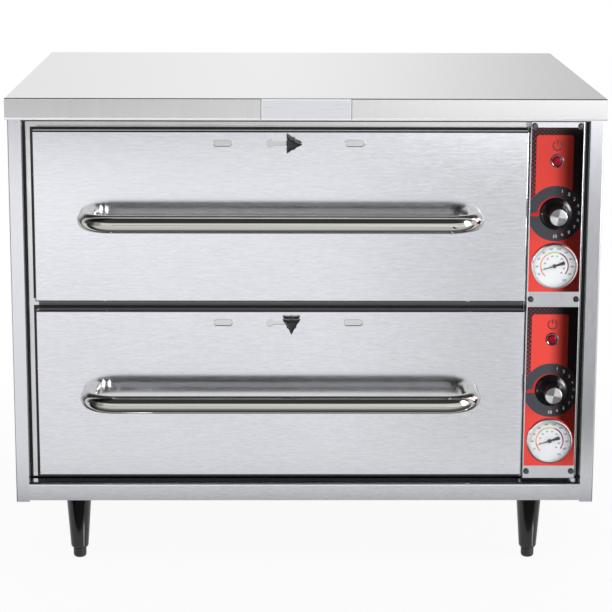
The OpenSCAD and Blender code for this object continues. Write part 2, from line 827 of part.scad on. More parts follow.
module cavity_liner(z) {
    w = mouth_w;
    h = mouth_h;
    flange = 8;
    color([0.7, 0.7, 0.7]) difference() {
        translate([x_drawer, y_liner, z + lap_height]) {
            difference() {
                translate([-w / 2 - liner_t, 0, -liner_t])
                    cube([w + 2 * liner_t, cavity_d + liner_t, h + 2 * liner_t]);
                translate([-w / 2, -cut, 0]) cube([w, cavity_d + cut, h]);
            }
            difference() {
                translate([-w / 2 - flange, 0, -flange]) cube([w + 2 * flange, liner_t, h + 2 * flange]);
                translate([-w / 2 - liner_t / 2, -cut, -liner_t / 2])
                    cube([w + liner_t, liner_t + 2 * cut, h + liner_t]);
            }
        }
        for (at = [label_low_z, label_up_z]) {
            probe_holes(at + knob_rise - bulb_drop);
            probe_holes(at + gauge_rise - gauge_bulb_drop);
        }
        for (end = [-1, 1]) element_end_hole(z, end);
    }
}

module upper_cavity_liner() {
    cavity_liner(z_upper);
}

module lower_cavity_liner() {
    cavity_liner(z_lower);
}

// Mineral-wool slabs round and between the cavities
module cabinet_insulation() {
    left = -half_w + sheet_t + fit;
    cavity_l = x_drawer - mouth_w / 2 - liner_t;
    cavity_r = x_drawer + mouth_w / 2 + liner_t;
    front = y_liner + liner_t + fit;
    back = y_liner + liner_t + cavity_d;
    low_floor = z_lower + lap_height - liner_t;
    low_roof = z_lower + lap_height + mouth_h + liner_t;
    up_floor = z_upper + lap_height - liner_t;
    up_roof = z_upper + lap_height + mouth_h + liner_t;
    base_top = z_floor + screw_tail + 1;
    roof_low = z_roof - sheet_t - 2 * fit;
    rear = y_flange - sheet_t - screw_tail - 1;
    color([0.85, 0.8, 0.6]) {
        difference() {
            union() {
                translate([left + sheet_t + fit, front, base_top])
                    cube([cavity_l - left - sheet_t - fit, back - front, roof_low - base_top]);
                translate([cavity_r, front, base_top])
                    cube([wall_pack, back - front, roof_low - base_top]);
            }
            for (at = [label_low_z, label_up_z]) {
                probe_holes(at + knob_rise - bulb_drop);
                probe_holes(at + gauge_rise - gauge_bulb_drop);
            }
            for (z = [z_lower, z_upper], end = [-1, 1]) element_end_hole(z, end);
        }
        for (span = [[base_top, low_floor], [low_roof, up_floor], [up_roof, roof_low]])
            translate([cavity_l, front, span[0]])
                cube([cavity_r - cavity_l, back - front, span[1] - span[0]]);
        translate([left + sheet_t + fit, back, base_top])
            cube([cavity_r + wall_pack - left - sheet_t - fit, rear - back, roof_low - base_top]);
    }
}

// Tubular heating element: straight runs along x joined by half turns, both ends
// leaving through the right-hand wall into the control compartment
element_r = 4;
element_rise = 14;
element_runs = 6;
element_pitch = 52;
element_margin_y = 70;
element_margin_x = 60;
element_y = y_frame + element_margin_y;
element_x0 = x_drawer - mouth_w / 2 + element_margin_x;
element_x1 = x_drawer + mouth_w / 2 - element_margin_x;

module element_end_hole(z, end) {
    y = element_y + (end < 0 ? 0 : (element_runs - 1) * element_pitch);
    translate([x_wall - cut, y, z + lap_height + element_rise]) rotate([0, 90, 0])
        cylinder(h = wall_pack + liner_t + 2 * cut, r = element_r + fit);
}

module heating_element(z) {
    half = element_pitch / 2;
    translate([0, element_y, z + lap_height + element_rise]) {
        for (i = [0 : element_runs - 1]) {
            ends = i == 0 || i == element_runs - 1;
            stop = ends ? x_wall + liner_t + wall_pack + 6 : element_x1;
            translate([element_x0, i * element_pitch, 0]) rotate([0, 90, 0])
                cylinder(h = stop - element_x0, r = element_r);
        }
        for (i = [0 : element_runs - 2])
            translate([i % 2 == 0 ? element_x0 : element_x1, i * element_pitch + half, 0])
                rotate(i % 2 == 0 ? 90 : -90)
                    rotate_extrude(angle = 180) translate([half, 0]) circle(element_r);
        for (i = [0, element_runs - 1])
            translate([x_wall + liner_t + wall_pack + 6, i * element_pitch, 0]) rotate([0, 90, 0])
                cylinder(h = 12, r = 1.6);
    }
}

module heating_elements() {
    color([0.35, 0.33, 0.32]) for (z = [z_lower, z_upper]) heating_element(z);
}

// Bridges that hold the elements off the cavity floors, one foot under each tube
element_clip_x = 150;

module element_clips() {
    wide = 12;
    t = 1;
    high = element_rise - element_r;
    span = (element_runs - 1) * element_pitch + wide;
    bay = element_pitch - 2 * t;
    color([0.6, 0.6, 0.6])
        for (z = [z_lower, z_upper], side = [-1, 1])
            translate([x_drawer + side * element_clip_x - wide / 2, element_y - wide / 2, z + lap_height])
                difference() {
                    cube([wide, span, high]);
                    for (i = [0 : element_runs - 2])
                        translate([-cut, wide / 2 + t + i * element_pitch, -cut])
                            cube([wide + 2 * cut, bay, high - t + cut]);
                    for (end = [-t, span - wide / 2 + t])
                        translate([-cut, end, -cut]) cube([wide + 2 * cut, wide / 2, high - t + cut]);
                }
}

// ---------------------------------------------------------------- legs and back

// Tapered leg under its plate, bored for the foot's stem
leg_len = leg_h - foot_h - (plate_t - sheet_t);
stem_len = 34;
adjust_gap = 2;

module legs() {
    color([0.08, 0.08, 0.09]) leg_places() translate([0, 0, -plate_t]) difference() {
        rotate([180, 0, 0]) rotate_extrude() polygon([
            [0, 0], [leg_top_dia / 2 + 1.5, 0], [leg_top_dia / 2 + 1.5, 3],
            [leg_top_dia / 2, 4.5], [leg_top_dia / 2, 16], [leg_low_dia / 2, leg_len - 2],
            [leg_low_dia / 2 - 1, leg_len], [0, leg_len]]);
        translate([0, 0, -leg_len - cut])
            cylinder(h = stem_len + adjust_gap + cut, d = foot_stem_dia + 2 * run);
    }
}

module leg_plates() {
    color([0.7, 0.7, 0.68]) leg_places() translate([0, 0, -plate_t]) difference() {
        linear_extrude(plate_t) round_rect(plate_size, plate_size, 6);
        plate_screw_places() translate([0, 0, -cut]) cylinder(h = plate_t + 2 * cut, d = plate_screw_dia);
    }
}

module foot() {
    color([0.1, 0.1, 0.1]) {
        rotate_extrude() polygon([
            [0, 0], [foot_dia / 2 - 2.5, 0], [foot_dia / 2 - 0.8, 1.2], [foot_dia / 2, 3.5],
            [foot_dia / 2, foot_h - 1.5], [foot_dia / 2 - 1.5, foot_h], [0, foot_h]]);
        translate([0, 0, foot_h]) cylinder(h = stem_len, d = foot_stem_dia);
    }
}

module front_left_foot() {
    translate([-leg_x, leg_row_y[0], 0]) foot();
}

module front_right_foot() {
    translate([leg_x, leg_row_y[0], 0]) foot();
}

module rear_left_foot() {
    translate([-leg_x, leg_row_y[1], 0]) foot();
}

module rear_right_foot() {
    translate([leg_x, leg_row_y[1], 0]) foot();
}

// Cable gland: hexagon, domed nut and a lock nut inside; nothing is threaded through it
module cable_gland() {
    reach = y0 + body_d + gland_reach - y_back;
    hex = 6;
    color([0.12, 0.12, 0.12]) translate([x_panel, y_back, gland_z]) difference() {
        union() {
            rod_y(4, 22 / 2);
            translate([0, 3, 0]) rotate([-90, 30, 0]) cylinder(h = hex, d = 24, $fn = 6);
            translate([0, 3 + hex, 0]) rod_y(reach - 3 - hex - 2, 10);
            translate([0, reach - 2, 0]) rotate([-90, 0, 0]) cylinder(h = 2, r1 = 10, r2 = 8);
            translate([0, -14, 0]) rod_y(15, gland_thread / 2);
            translate([0, -sheet_t - 5, 0]) rotate([-90, 0, 0]) cylinder(h = 5, d = 24, $fn = 6);
        }
        translate([0, -15, 0]) rod_y(reach + 16, cable_hole / 2);
    }
}

module cabinet_screws() {
    color([0.75, 0.75, 0.75]) {
        mirror([0, 1, 0]) translate([0, -2 * y_back, 0])
            for (side = [-1, 1], z = back_screw_z)
                translate([side * back_screw_x, y_back, z])
                    pan_screw(8, back_screw_dia, 2 * sheet_t + 2);
        leg_places() plate_screw_places() translate([0, 0, -plate_t]) rotate([90, 0, 0])
            pan_screw(9, plate_screw_dia, plate_t + sheet_t + screw_tail);
        for (side = [-1, 1], y = leg_row_y, s = [-1, 1])
            translate([side * (half_w - tab_w / 2), y + s * 20, z0]) rotate([90, 0, 0])
                pan_screw(7.5, base_screw_dia, 2 * sheet_t + screw_tail);
    }
}

// ---------------------------------------------------------------- slides

// Half profiles in u (from the cavity wall inwards) and v (up from the slide's middle)
slide_top = slide_h / 2;
outer_lip = slide_w - 4;
middle_u = slide_t + slide_gap;
middle_top = slide_top - slide_t - slide_gap;
middle_lip = outer_lip - slide_t - slide_gap;
inner_u = middle_u + slide_t + slide_gap;
inner_top = middle_top - slide_t - slide_gap;
lip_drop = 4;
inner_hat = inner_top - lip_drop - slide_t - slide_gap - 0.4;

module both_halves() {
    children();
    mirror([0, 1]) children();
}

module outer_profile() {
    both_halves() polygon([
        [0, 0], [0, slide_top], [outer_lip, slide_top], [outer_lip, slide_top - slide_t - lip_drop],
        [outer_lip - slide_t, slide_top - slide_t - lip_drop], [outer_lip - slide_t, slide_top - slide_t],
        [slide_t, slide_top - slide_t], [slide_t, 0]]);
}

module middle_profile() {
    both_halves() polygon([
        [middle_u, 0], [middle_u, middle_top], [middle_lip, middle_top],
        [middle_lip, middle_top - slide_t - lip_drop],
        [middle_lip - slide_t, middle_top - slide_t - lip_drop],
        [middle_lip - slide_t, middle_top - slide_t], [middle_u + slide_t, middle_top - slide_t],
        [middle_u + slide_t, 0]]);
}

module inner_profile() {
    both_halves() polygon([
        [slide_w, 0], [slide_w, inner_hat + slide_t], [inner_u + slide_t, inner_hat + slide_t],
        [inner_u + slide_t, inner_top], [inner_u, inner_top], [inner_u, inner_hat],
        [slide_w - slide_t, inner_hat], [slide_w - slide_t, 0]]);
}

// Places a slide profile at both walls of a cavity
module slide_pair(z) {
    height = z + lap_height + pan_seat - slide_drop;
    for (side = [-1, 1])
        translate([x_drawer, slide_y, height]) mirror([side < 0 ? 0 : 1, 0, 0])
            translate([-mouth_w / 2, 0, 0]) along_y(slide_len) children();
}

module slide_outer_members() {
    color([0.62, 0.62, 0.6]) for (z = [z_lower, z_upper]) slide_pair(z) outer_profile();
}

module slide_middle_members(z) {
    color([0.66, 0.66, 0.64]) slide_pair(z) middle_profile();
}

module slide_inner_members(z) {
    color([0.7, 0.7, 0.68]) slide_pair(z) inner_profile();
}

module upper_slide_middle_members() {
    slide_middle_members(z_upper);
}

module lower_slide_middle_members() {
    slide_middle_members(z_lower);
}

module upper_slide_inner_members() {
    slide_inner_members(z_upper);
}

module lower_slide_inner_members() {
    slide_inner_members(z_lower);
}

// ---------------------------------------------------------------- drawers

// The damper slides behind the front in two Z-shaped guides
damper_t = 1;
damper_h = 17;
damper_gap = 0.2;
damper_left = vent_left - vent_len / 2 - 6;
damper_right = vent_right + vent_len / 2 + 2 * vent_half_travel + 6;
guide_lip = 2.6;

module vent_slots(extra) {
    for (x = [vent_left, vent_right])
        translate([x, -vent_drop]) obround(vent_len + extra, vent_h + extra);
}

// Keyhole: round end where the stud's head goes in, narrow end where it slides
module keyhole() {
    slot = vent_stud_dia + 2 * damper_gap;
    translate([-vent_half_travel, -vent_drop]) circle(keyhole_dia / 2);
    translate([0, -vent_drop]) obround(2 * vent_half_travel + slot, slot);
}

// Top flange of a front: its ends taper in where the corner is relieved
relief = 4.5;

module drawer_front(z) {
    color([0.84, 0.84, 0.83]) translate([x_drawer, y0, z]) {
        difference() {
            folded_tray(drawer_w, front_t, drawer_h, front_sheet, bend_r);
            translate([0, -cut, drawer_h]) upright(front_sheet + 2 * cut) {
                vent_slots(0);
                keyhole();
            }
            for (side = [-1, 1]) {
                translate([side * (handle_len - handle_dia) / 2, -cut, drawer_h / 2])
                    rod_y(front_sheet + 2 * cut, handle_screw_dia / 2);
                translate([side * drawer_w / 2, bend_r, drawer_h - front_sheet - cut])
                    linear_extrude(2 * cut + front_sheet)
                        polygon([[0, 0], [0, front_t], [-side * relief, front_t]]);
            }
        }
        for (side = [-1, 1])
            translate([damper_left - 4, front_sheet, drawer_h - vent_drop])
                along_x(damper_right - damper_left - 2 * vent_half_travel + 8)
                    mirror([0, side < 0 ? 1 : 0]) guide_profile();
    }
}

module guide_profile() {
    t = 0.8;
    foot = 3.6;
    seat = damper_h / 2 + damper_gap;
    rise = damper_t + 2 * damper_gap;
    polygon([[0, seat], [rise, seat], [rise, seat - guide_lip], [rise + t, seat - guide_lip],
        [rise + t, seat + t], [t, seat + t], [t, seat + foot], [0, seat + foot]]);
}

module upper_drawer_front() {
    drawer_front(z_upper);
}

module lower_drawer_front() {
    drawer_front(z_lower);
}

handle_screw_dia = 6;
handle_screw_len = 13;
frame_screw_dia = 4;
frame_screw_x = frame_w / 2 - 25;
frame_screw_z = [-18, -36];

// Inner panel: a shallow tray that closes the shell from behind
module drawer_inner_panel(z) {
    gap = 0.15;
    w = drawer_w - 2 * front_sheet - 2 * gap;
    h = drawer_h - 2 * front_sheet - 2 * gap;
    lip = 8;
    color([0.8, 0.8, 0.8]) translate([x_drawer, y0 + front_t, z + front_sheet + gap]) difference() {
        mirror([0, 1, 0]) difference() {
            translate([-w / 2, 0, 0]) cube([w, lip, h]);
            translate([-w / 2 + front_sheet, front_sheet, front_sheet])
                cube([w - 2 * front_sheet, lip, h - 2 * front_sheet]);
        }
        translate([0, -front_sheet - cut, drawer_h - front_sheet - gap])
            upright(front_sheet + 2 * cut) vent_slots(2);
        for (side = [-1, 1], down = frame_screw_z)
            translate([side * frame_screw_x, -front_sheet - cut, frame_screw_height(down)])
                rod_y(front_sheet + 2 * cut, frame_screw_dia / 2);
        for (side = [-1, 1])
            translate([side * (drawer_w / 2 - front_sheet - gap), -lip - cut, h - front_sheet - cut])
                linear_extrude(2 * cut + front_sheet)
                    polygon([[0, 0], [0, lip + 2 * cut], [-side * relief, lip + 2 * cut],
                        [-side * (relief - 1.6), 0]]);
    }
}

// Height of a frame screw above the inner panel's lower edge
function frame_screw_height(down) = lap_height + pan_seat + down - front_sheet - 0.15;

module upper_drawer_inner_panel() {
    drawer_inner_panel(z_upper);
}

module lower_drawer_inner_panel() {
    drawer_inner_panel(z_lower);
}

// Slab in the front, cut back under the vent and round the screws
module drawer_insulation(z) {
    w = drawer_w - 4 * front_sheet - 2;
    h = drawer_h - vent_drop - damper_h - 2 * front_sheet;
    deep = front_t - 2 * front_sheet;
    color([0.85, 0.8, 0.6]) translate([x_drawer, y0 + front_sheet, z + 2 * front_sheet + 0.6])
        difference() {
            translate([-w / 2, 0, 0]) cube([w, deep, h]);
            for (side = [-1, 1]) {
                translate([side * (handle_len - handle_dia) / 2, -cut,
                    drawer_h / 2 - 2 * front_sheet - 0.6]) rod_y(9, 8);
                for (down = frame_screw_z)
                    translate([side * frame_screw_x, deep - 8,
                        frame_screw_height(down) - front_sheet - 0.45]) rod_y(8 + cut, 5);
            }
        }
}

module upper_drawer_insulation() {
    drawer_insulation(z_upper);
}

module lower_drawer_insulation() {
    drawer_insulation(z_lower);
}

// Bent tube handle with a threaded plug in each end
module drawer_handle(z) {
    span = handle_len - handle_dia;
    leg = handle_reach - handle_bend;
    plug = 14;
    r = handle_dia / 2;
    color([0.86, 0.86, 0.86]) translate([x_drawer, y0, z + drawer_h / 2]) {
        difference() {
            union() {
                handle_path(span, leg, r);
            }
            difference() {
                handle_path(span, leg, r - handle_wall);
                for (side = [-1, 1])
                    translate([side * span / 2, -plug, 0]) rod_y(plug + cut, r);
            }
            for (side = [-1, 1])
                translate([side * span / 2, -plug - cut, 0]) rod_y(plug + 2 * cut, handle_screw_dia / 2);
        }
    }
}

module handle_path(span, leg, r) {
    translate([-span / 2 + handle_bend, -handle_reach, 0]) rotate([0, 90, 0])
        cylinder(h = span - 2 * handle_bend, r = r);
    for (side = [-1, 1])
        mirror([side < 0 ? 1 : 0, 0, 0]) {
            translate([span / 2, -leg, 0]) rod_y(leg, r);
            translate([span / 2 - handle_bend, -leg, 0]) rotate(-90)
                rotate_extrude(angle = 90) translate([handle_bend, 0]) circle(r);
        }
}

module upper_drawer_handle() {
    drawer_handle(z_upper);
}

module lower_drawer_handle() {
    drawer_handle(z_lower);
}

// Handle screws from inside the shell, frame screws through the inner panel
module drawer_screws(z) {
    color([0.7, 0.7, 0.7]) translate([x_drawer, y0, z]) {
        for (side = [-1, 1]) {
            translate([side * (handle_len - handle_dia) / 2, front_sheet, drawer_h / 2])
                mirror([0, 1, 0]) pan_screw(12, handle_screw_dia, handle_screw_len);
            for (down = frame_screw_z)
                translate([side * frame_screw_x, front_t - front_sheet,
                    lap_height + pan_seat + down]) pan_screw(8, frame_screw_dia, front_sheet + frame_t + 2);
        }
    }
}

module upper_drawer_screws() {
    drawer_screws(z_upper);
}

module lower_drawer_screws() {
    drawer_screws(z_lower);
}

// Frame that hangs between the slides: deck with the pan's opening, skirts all round
// and a vented shelf behind the pan
shelf_gap = 14;
shelf_pitch = 22;
shelf_rows = 3;
shelf_margin = 40;
shelf_hole_r = 4.5;

module drawer_frame(z) {
    skirt = slide_h;
    hole_w = pan_len - 2 * pan_rim + 4;
    hole_d = pan_w - 2 * pan_rim + 4;
    deck_z = z + lap_height + pan_seat;
    shelf_y = pan_y + pan_w + shelf_gap;
    cols = floor((frame_w / 2 - shelf_margin) / shelf_pitch);
    color([0.76, 0.76, 0.76]) difference() {
        translate([x_drawer - frame_w / 2, frame_y, deck_z - skirt])
            cube([frame_w, frame_len, skirt]);
        translate([x_drawer - frame_w / 2 + frame_t, frame_y + frame_t, deck_z - skirt - frame_t])
            cube([frame_w - 2 * frame_t, frame_len - 2 * frame_t, skirt]);
        translate([x_drawer, pan_y + pan_w / 2, deck_z - 2 * frame_t])
            linear_extrude(4 * frame_t) round_rect(hole_w, hole_d, pan_corner);
        for (i = [-cols : cols], j = [0 : shelf_rows - 1])
            translate([x_drawer + i * shelf_pitch, shelf_y + j * shelf_pitch, deck_z - 2 * frame_t])
                cylinder(h = 4 * frame_t, r = shelf_hole_r);
        for (side = [-1, 1], down = frame_screw_z)
            translate([x_drawer + side * frame_screw_x, frame_y - cut, deck_z + down])
                rod_y(frame_t + 2 * cut, frame_screw_dia / 2);
    }
}

module upper_drawer_frame() {
    drawer_frame(z_upper);
}

module lower_drawer_frame() {
    drawer_frame(z_lower);
}

// Deep-drawn pan: tapered well under a flat rim
module food_pan(z) {
    mouth_l = pan_len - 2 * pan_rim;
    mouth_d = pan_w - 2 * pan_rim;
    rim_z = z + lap_height + pan_seat;
    color([0.88, 0.88, 0.88]) translate([x_drawer, pan_y + pan_w / 2, rim_z]) {
        difference() {
            union() {
                linear_extrude(pan_t) round_rect(pan_len, pan_w, pan_corner);
                pan_well(mouth_l, mouth_d, 0);
            }
            pan_well(mouth_l - 2 * pan_t, mouth_d - 2 * pan_t, pan_t);
        }
    }
}

module pan_well(len, wide, wall) {
    floor_r = pan_corner - pan_taper;
    hull() {
        translate([0, 0, wall > 0 ? 0 : pan_t / 2]) linear_extrude(wall > 0 ? pan_t + cut : pan_t / 2)
            round_rect(len, wide, pan_corner - 4, $fn = 32);
        translate([0, 0, -pan_deep + wall + 12]) linear_extrude(pan_t)
            round_rect(len - 2 * pan_taper, wide - 2 * pan_taper, floor_r, $fn = 32);
        translate([0, 0, -pan_deep + wall]) linear_extrude(pan_t)
            round_rect(len - 2 * pan_taper - 16, wide - 2 * pan_taper - 16, floor_r - 6, $fn = 32);
    }
}

module upper_food_pan() {
    food_pan(z_upper);
}

module lower_food_pan() {
    food_pan(z_lower);
}

// Damper: a plate with two windows, a stud out through the keyhole and a nut's flange
module vent_damper(z) {
    stud_out = vent_knob_reach - 3;
    color([0.75, 0.75, 0.72])
        translate([x_drawer, y0 + front_sheet + damper_gap, z + drawer_h - vent_drop]) {
            difference() {
                translate([damper_left, 0, -damper_h / 2])
                    cube([damper_right - damper_left - 2 * vent_half_travel, damper_t, damper_h]);
                for (x = [vent_left, vent_right])
                    translate([x + 2 * vent_half_travel, -cut, 0]) upright(damper_t + 2 * cut)
                        obround(vent_len, vent_h);
            }
            translate([vent_half_travel, -front_sheet - damper_gap - stud_out, 0])
                rod_y(stud_out + front_sheet + damper_gap + damper_t / 2, vent_stud_dia / 2);
        }
}

module upper_vent_damper() {
    vent_damper(z_upper);
}

module lower_vent_damper() {
    vent_damper(z_lower);
}

// Three-lobed clamping knob on the damper's stud; one lobe points along +x at turn 0
lobe_depth = 5.2;
lobe_steps = 48;

function lobe_point(a, r) = (r - lobe_depth * (1 - cos(3 * a)) / 2) * [cos(a), sin(a)];

module lobes(r) {
    polygon([for (i = [0 : lobe_steps - 1]) lobe_point(i * 360 / lobe_steps, r)]);
}

module vent_knob(z, turn) {
    neck = 4.7;
    edge = 1.2;
    body = vent_knob_reach - 0.3 - neck;
    r = vent_knob_dia / 2;
    color([0.1, 0.1, 0.1])
        translate([x_drawer + vent_half_travel, y0 - 0.3, z + drawer_h - vent_drop])
            rotate([90, turn, 0]) difference() {
                union() {
                    cylinder(h = neck, r = 5.4);
                    translate([0, 0, neck]) linear_extrude(edge) lobes(r - edge * 0.7);
                    translate([0, 0, neck + edge]) linear_extrude(body - 2 * edge) lobes(r);
                    translate([0, 0, vent_knob_reach - 0.3 - edge]) linear_extrude(edge)
                        lobes(r - edge * 0.7);
                }
                translate([0, 0, -cut])
                    cylinder(h = vent_knob_reach - 2.4 + cut, r = vent_stud_dia / 2 + run);
            }
}

module upper_vent_knob() {
    vent_knob(z_upper, 0);
}

module lower_vent_knob() {
    vent_knob(z_lower, 90);
}

top_cover();
left_side_panel();
right_side_panel();
back_panel();
base_pan();
front_rail();
face_frame();
name_plate();
control_panel();
control_labels();
control_panel_screws();
upper_cavity_liner();
lower_cavity_liner();
cabinet_insulation();
heating_elements();
element_clips();
thermostats();
pilot_lamp_bodies();
pilot_lamp_lenses();
thermometer_cases();
thermometer_dials();
thermometer_glasses();
legs();
leg_plates();
cable_gland();
terminal_block();
cabinet_screws();
slide_outer_members();
front_left_foot();
front_right_foot();
rear_left_foot();
rear_right_foot();
upper_thermostat_knob();
lower_thermostat_knob();
upper_thermostat_spindle();
lower_thermostat_spindle();
upper_thermometer_needle();
lower_thermometer_needle();
upper_drawer_front();
upper_drawer_inner_panel();
upper_drawer_insulation();
upper_drawer_handle();
upper_drawer_screws();
upper_drawer_frame();
upper_food_pan();
upper_slide_inner_members();
upper_slide_middle_members();
upper_vent_damper();
upper_vent_knob();
lower_drawer_front();
lower_drawer_inner_panel();
lower_drawer_insulation();
lower_drawer_handle();
lower_drawer_screws();
lower_drawer_frame();
lower_food_pan();
lower_slide_inner_members();
lower_slide_middle_members();
lower_vent_damper();
lower_vent_knob();
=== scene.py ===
# %% [markdown]
# # A countertop warming drawer, dressed for its portrait
#
# The real object is a folded stainless cabinet on four black legs, with two insulated
# drawers, two tube handles and a column of red control labels at the right. The packed
# model already holds every piece at its real size. This lesson gives each piece its finish,
# and models by hand the small parts whose look depends on fine shape: the thermostat knobs
# with their spun caps, the three-lobed vent knobs, the lamps, the seals and rolled edges, and
# the numbers and signs.

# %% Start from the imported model
import math

import bpy
from mathutils import Matrix, Vector


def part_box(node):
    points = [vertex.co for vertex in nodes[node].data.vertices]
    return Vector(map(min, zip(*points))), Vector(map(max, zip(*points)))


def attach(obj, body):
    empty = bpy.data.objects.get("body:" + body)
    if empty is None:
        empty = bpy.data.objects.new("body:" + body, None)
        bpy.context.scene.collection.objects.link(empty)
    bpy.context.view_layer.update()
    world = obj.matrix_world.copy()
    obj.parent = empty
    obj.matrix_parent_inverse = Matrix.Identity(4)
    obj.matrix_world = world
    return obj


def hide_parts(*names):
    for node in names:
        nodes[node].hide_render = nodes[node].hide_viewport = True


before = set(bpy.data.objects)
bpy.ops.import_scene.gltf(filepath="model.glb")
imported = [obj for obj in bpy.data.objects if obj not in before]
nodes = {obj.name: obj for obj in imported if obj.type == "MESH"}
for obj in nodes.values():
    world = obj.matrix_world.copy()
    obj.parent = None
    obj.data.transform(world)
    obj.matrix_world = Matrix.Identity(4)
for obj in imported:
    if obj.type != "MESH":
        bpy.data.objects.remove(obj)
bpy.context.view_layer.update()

# %% [markdown]
# ## The camera
#
# The photograph looks almost straight at the front, from a little above the cover, through
# a long lens. A camera is a place, a lens and three angles. The angles are put on one after
# another: turn about the upright axis, tip down from the horizon, then level the picture.

# %% Camera
camera_place = Vector((-0.0358, -2.9051, 0.9320))
camera_turn = math.radians(-0.784)
camera_tip = math.radians(12.259)
camera_level = math.radians(0.211)
lens_mm = 127.3
sensor_mm = 36

camera_data = bpy.data.cameras.new("camera")
camera_data.lens = lens_mm
camera_data.sensor_width = sensor_mm
camera = bpy.data.objects.new("camera", camera_data)
bpy.context.scene.collection.objects.link(camera)
camera.matrix_world = (
    Matrix.Translation(camera_place)
    @ Matrix.Rotation(camera_turn, 4, "Z")
    @ Matrix.Rotation(math.radians(90) - camera_tip, 4, "X")
    @ Matrix.Rotation(camera_level, 4, "Z")
)
bpy.context.scene.camera = camera

# %% [markdown]
# ## Small helpers for materials
#
# A material is a little tree of nodes. Writing each one out takes four or five lines, so
# `node` makes one, sets its plain settings and fills its inputs, either with a value or by
# wiring another node's output in. `math_node` and `mix_colour` are the two that come up most,
# and `plus`, `minus`, `times` and `size_of` are short names for common sums.
# `below`, `between`, `more` and `less` make masks, `tint` multiplies colours, `over` lays a
# shared effect over a piece, and `dress` and `add_bump` wire a finish to its shader.

# %% Node helpers
def node(tree, kind, inputs=None, **settings):
    made = tree.nodes.new("ShaderNode" + kind)
    for key, value in settings.items():
        setattr(made, key, value)
    for key, value in (inputs or {}).items():
        if isinstance(value, bpy.types.NodeSocket):
            tree.links.new(value, made.inputs[key])
        else:
            made.inputs[key].default_value = value
    return made


def math_node(tree, operation, first, second=0.0, third=0.0, clamp=False):
    inputs = {0: first, 1: second, 2: third}
    return node(tree, "Math", inputs, operation=operation, use_clamp=clamp).outputs[0]


def plus(tree, first, second):
    return math_node(tree, "ADD", first, second)


def minus(tree, first, second):
    return math_node(tree, "SUBTRACT", first, second)


def size_of(tree, value):
    return math_node(tree, "ABSOLUTE", value)


def mix_colour(tree, factor, first, second, blend="MIX"):
    made = node(tree, "Mix", {0: factor, 6: first, 7: second}, data_type="RGBA", blend_type=blend)
    return made.outputs[2]


def tint(tree, *colours):
    """Multiplies colours with each other."""
    made = colours[0]
    for colour in colours[1:]:
        made = mix_colour(tree, 1.0, made, colour, "MULTIPLY")
    return made


def spread(tree, value, low, high, new_low, new_high):
    """Maps low to new_low and high to new_high, and stays level beyond them."""
    inputs = {0: value, 1: low, 2: high, 3: new_low, 4: new_high}
    return node(tree, "MapRange", inputs).outputs[0]


def rise(tree, value, start, full):
    return spread(tree, value, start, full, 0.0, 1.0)


def times(tree, *masks):
    made = masks[0]
    for mask in masks[1:]:
        made = math_node(tree, "MULTIPLY", made, mask)
    return made


def below(tree, value, edge, soft=0.15):
    return spread(tree, value, edge - soft, edge + soft, 1.0, 0.0)


def between(tree, value, low, high, soft=0.15):
    middle, half = (low + high) / 2, (high - low) / 2
    away = size_of(tree, minus(tree, value, middle))
    return below(tree, away, half, soft)


def more(tree, value, edge):
    return math_node(tree, "GREATER_THAN", value, edge)


def less(tree, value, edge):
    return math_node(tree, "LESS_THAN", value, edge)


def length_of(tree, across, up):
    flat = node(tree, "CombineXYZ", {0: across, 1: up})
    return node(tree, "VectorMath", {0: flat.outputs[0]}, operation="LENGTH").outputs["Value"]


def new_group(name, inputs, outputs):
    group = bpy.data.node_groups.new(name, "ShaderNodeTree")
    for label, value in inputs.items():
        kind = "NodeSocketVector" if value is None else "NodeSocketFloat"
        made = group.interface.new_socket(label, in_out="INPUT", socket_type=kind)
        if value is not None:
            made.default_value = value
    for label in outputs:
        group.interface.new_socket(label, in_out="OUTPUT", socket_type="NodeSocketFloat")
    return group, group.nodes.new("NodeGroupInput"), group.nodes.new("NodeGroupOutput")


def use_group(tree, group, inputs):
    return node(tree, "Group", inputs, node_tree=group).outputs


def new_tree(data):
    """Empties the node tree of a material or a world, to be filled from nothing."""
    data.use_nodes = True
    data.node_tree.nodes.clear()
    return data.node_tree


def new_material(name, **shader_values):
    material = bpy.data.materials.new(name + "_finish")
    material.use_nodes = True
    shader = material.node_tree.nodes["Principled BSDF"]
    for key, value in shader_values.items():
        shader.inputs[key.replace("_", " ")].default_value = value
    return material, material.node_tree, shader


def object_place(tree, scale=(1, 1, 1)):
    where = node(tree, "TexCoord").outputs["Object"]
    return node(tree, "Mapping", {"Vector": where, "Scale": scale}).outputs[0]


def parts_of_place(tree):
    return node(tree, "SeparateXYZ", {0: object_place(tree)}).outputs


def parts_of_normal(tree):
    normal = node(tree, "NewGeometry").outputs["Normal"]
    return node(tree, "SeparateXYZ", {0: normal}).outputs


def over(tree, group, scale):
    """A shared effect laid over the object's own space."""
    return use_group(tree, group, {"Vector": object_place(tree), "Scale": scale})


def grey(tone):
    return (tone, tone, tone, 1)


def darker(colour, share):
    return [part * (1 - share) for part in colour] + [1]


white = grey(1)


def only_where(tree, mask, shade):
    """White, and the shade where the mask is one."""
    return mix_colour(tree, mask, white, shade)


def shade_finish(material, mask, shade):
    """Multiplies a finish's colour by a shade where the mask is one."""
    tree = material.node_tree
    colour = tree.nodes["Principled BSDF"].inputs["Base Color"]
    clean = colour.links[0].from_socket
    tree.links.new(tint(tree, clean, only_where(tree, mask, shade)), colour)


def dress(tree, shader, colour, tone=None, rough=(0, 1)):
    """Wires the colour, and a roughness that runs from one value to the other with a tone."""
    tree.links.new(colour, shader.inputs["Base Color"])
    if tone is not None:
        tree.links.new(spread(tree, tone, 0, 1, *rough), shader.inputs["Roughness"])


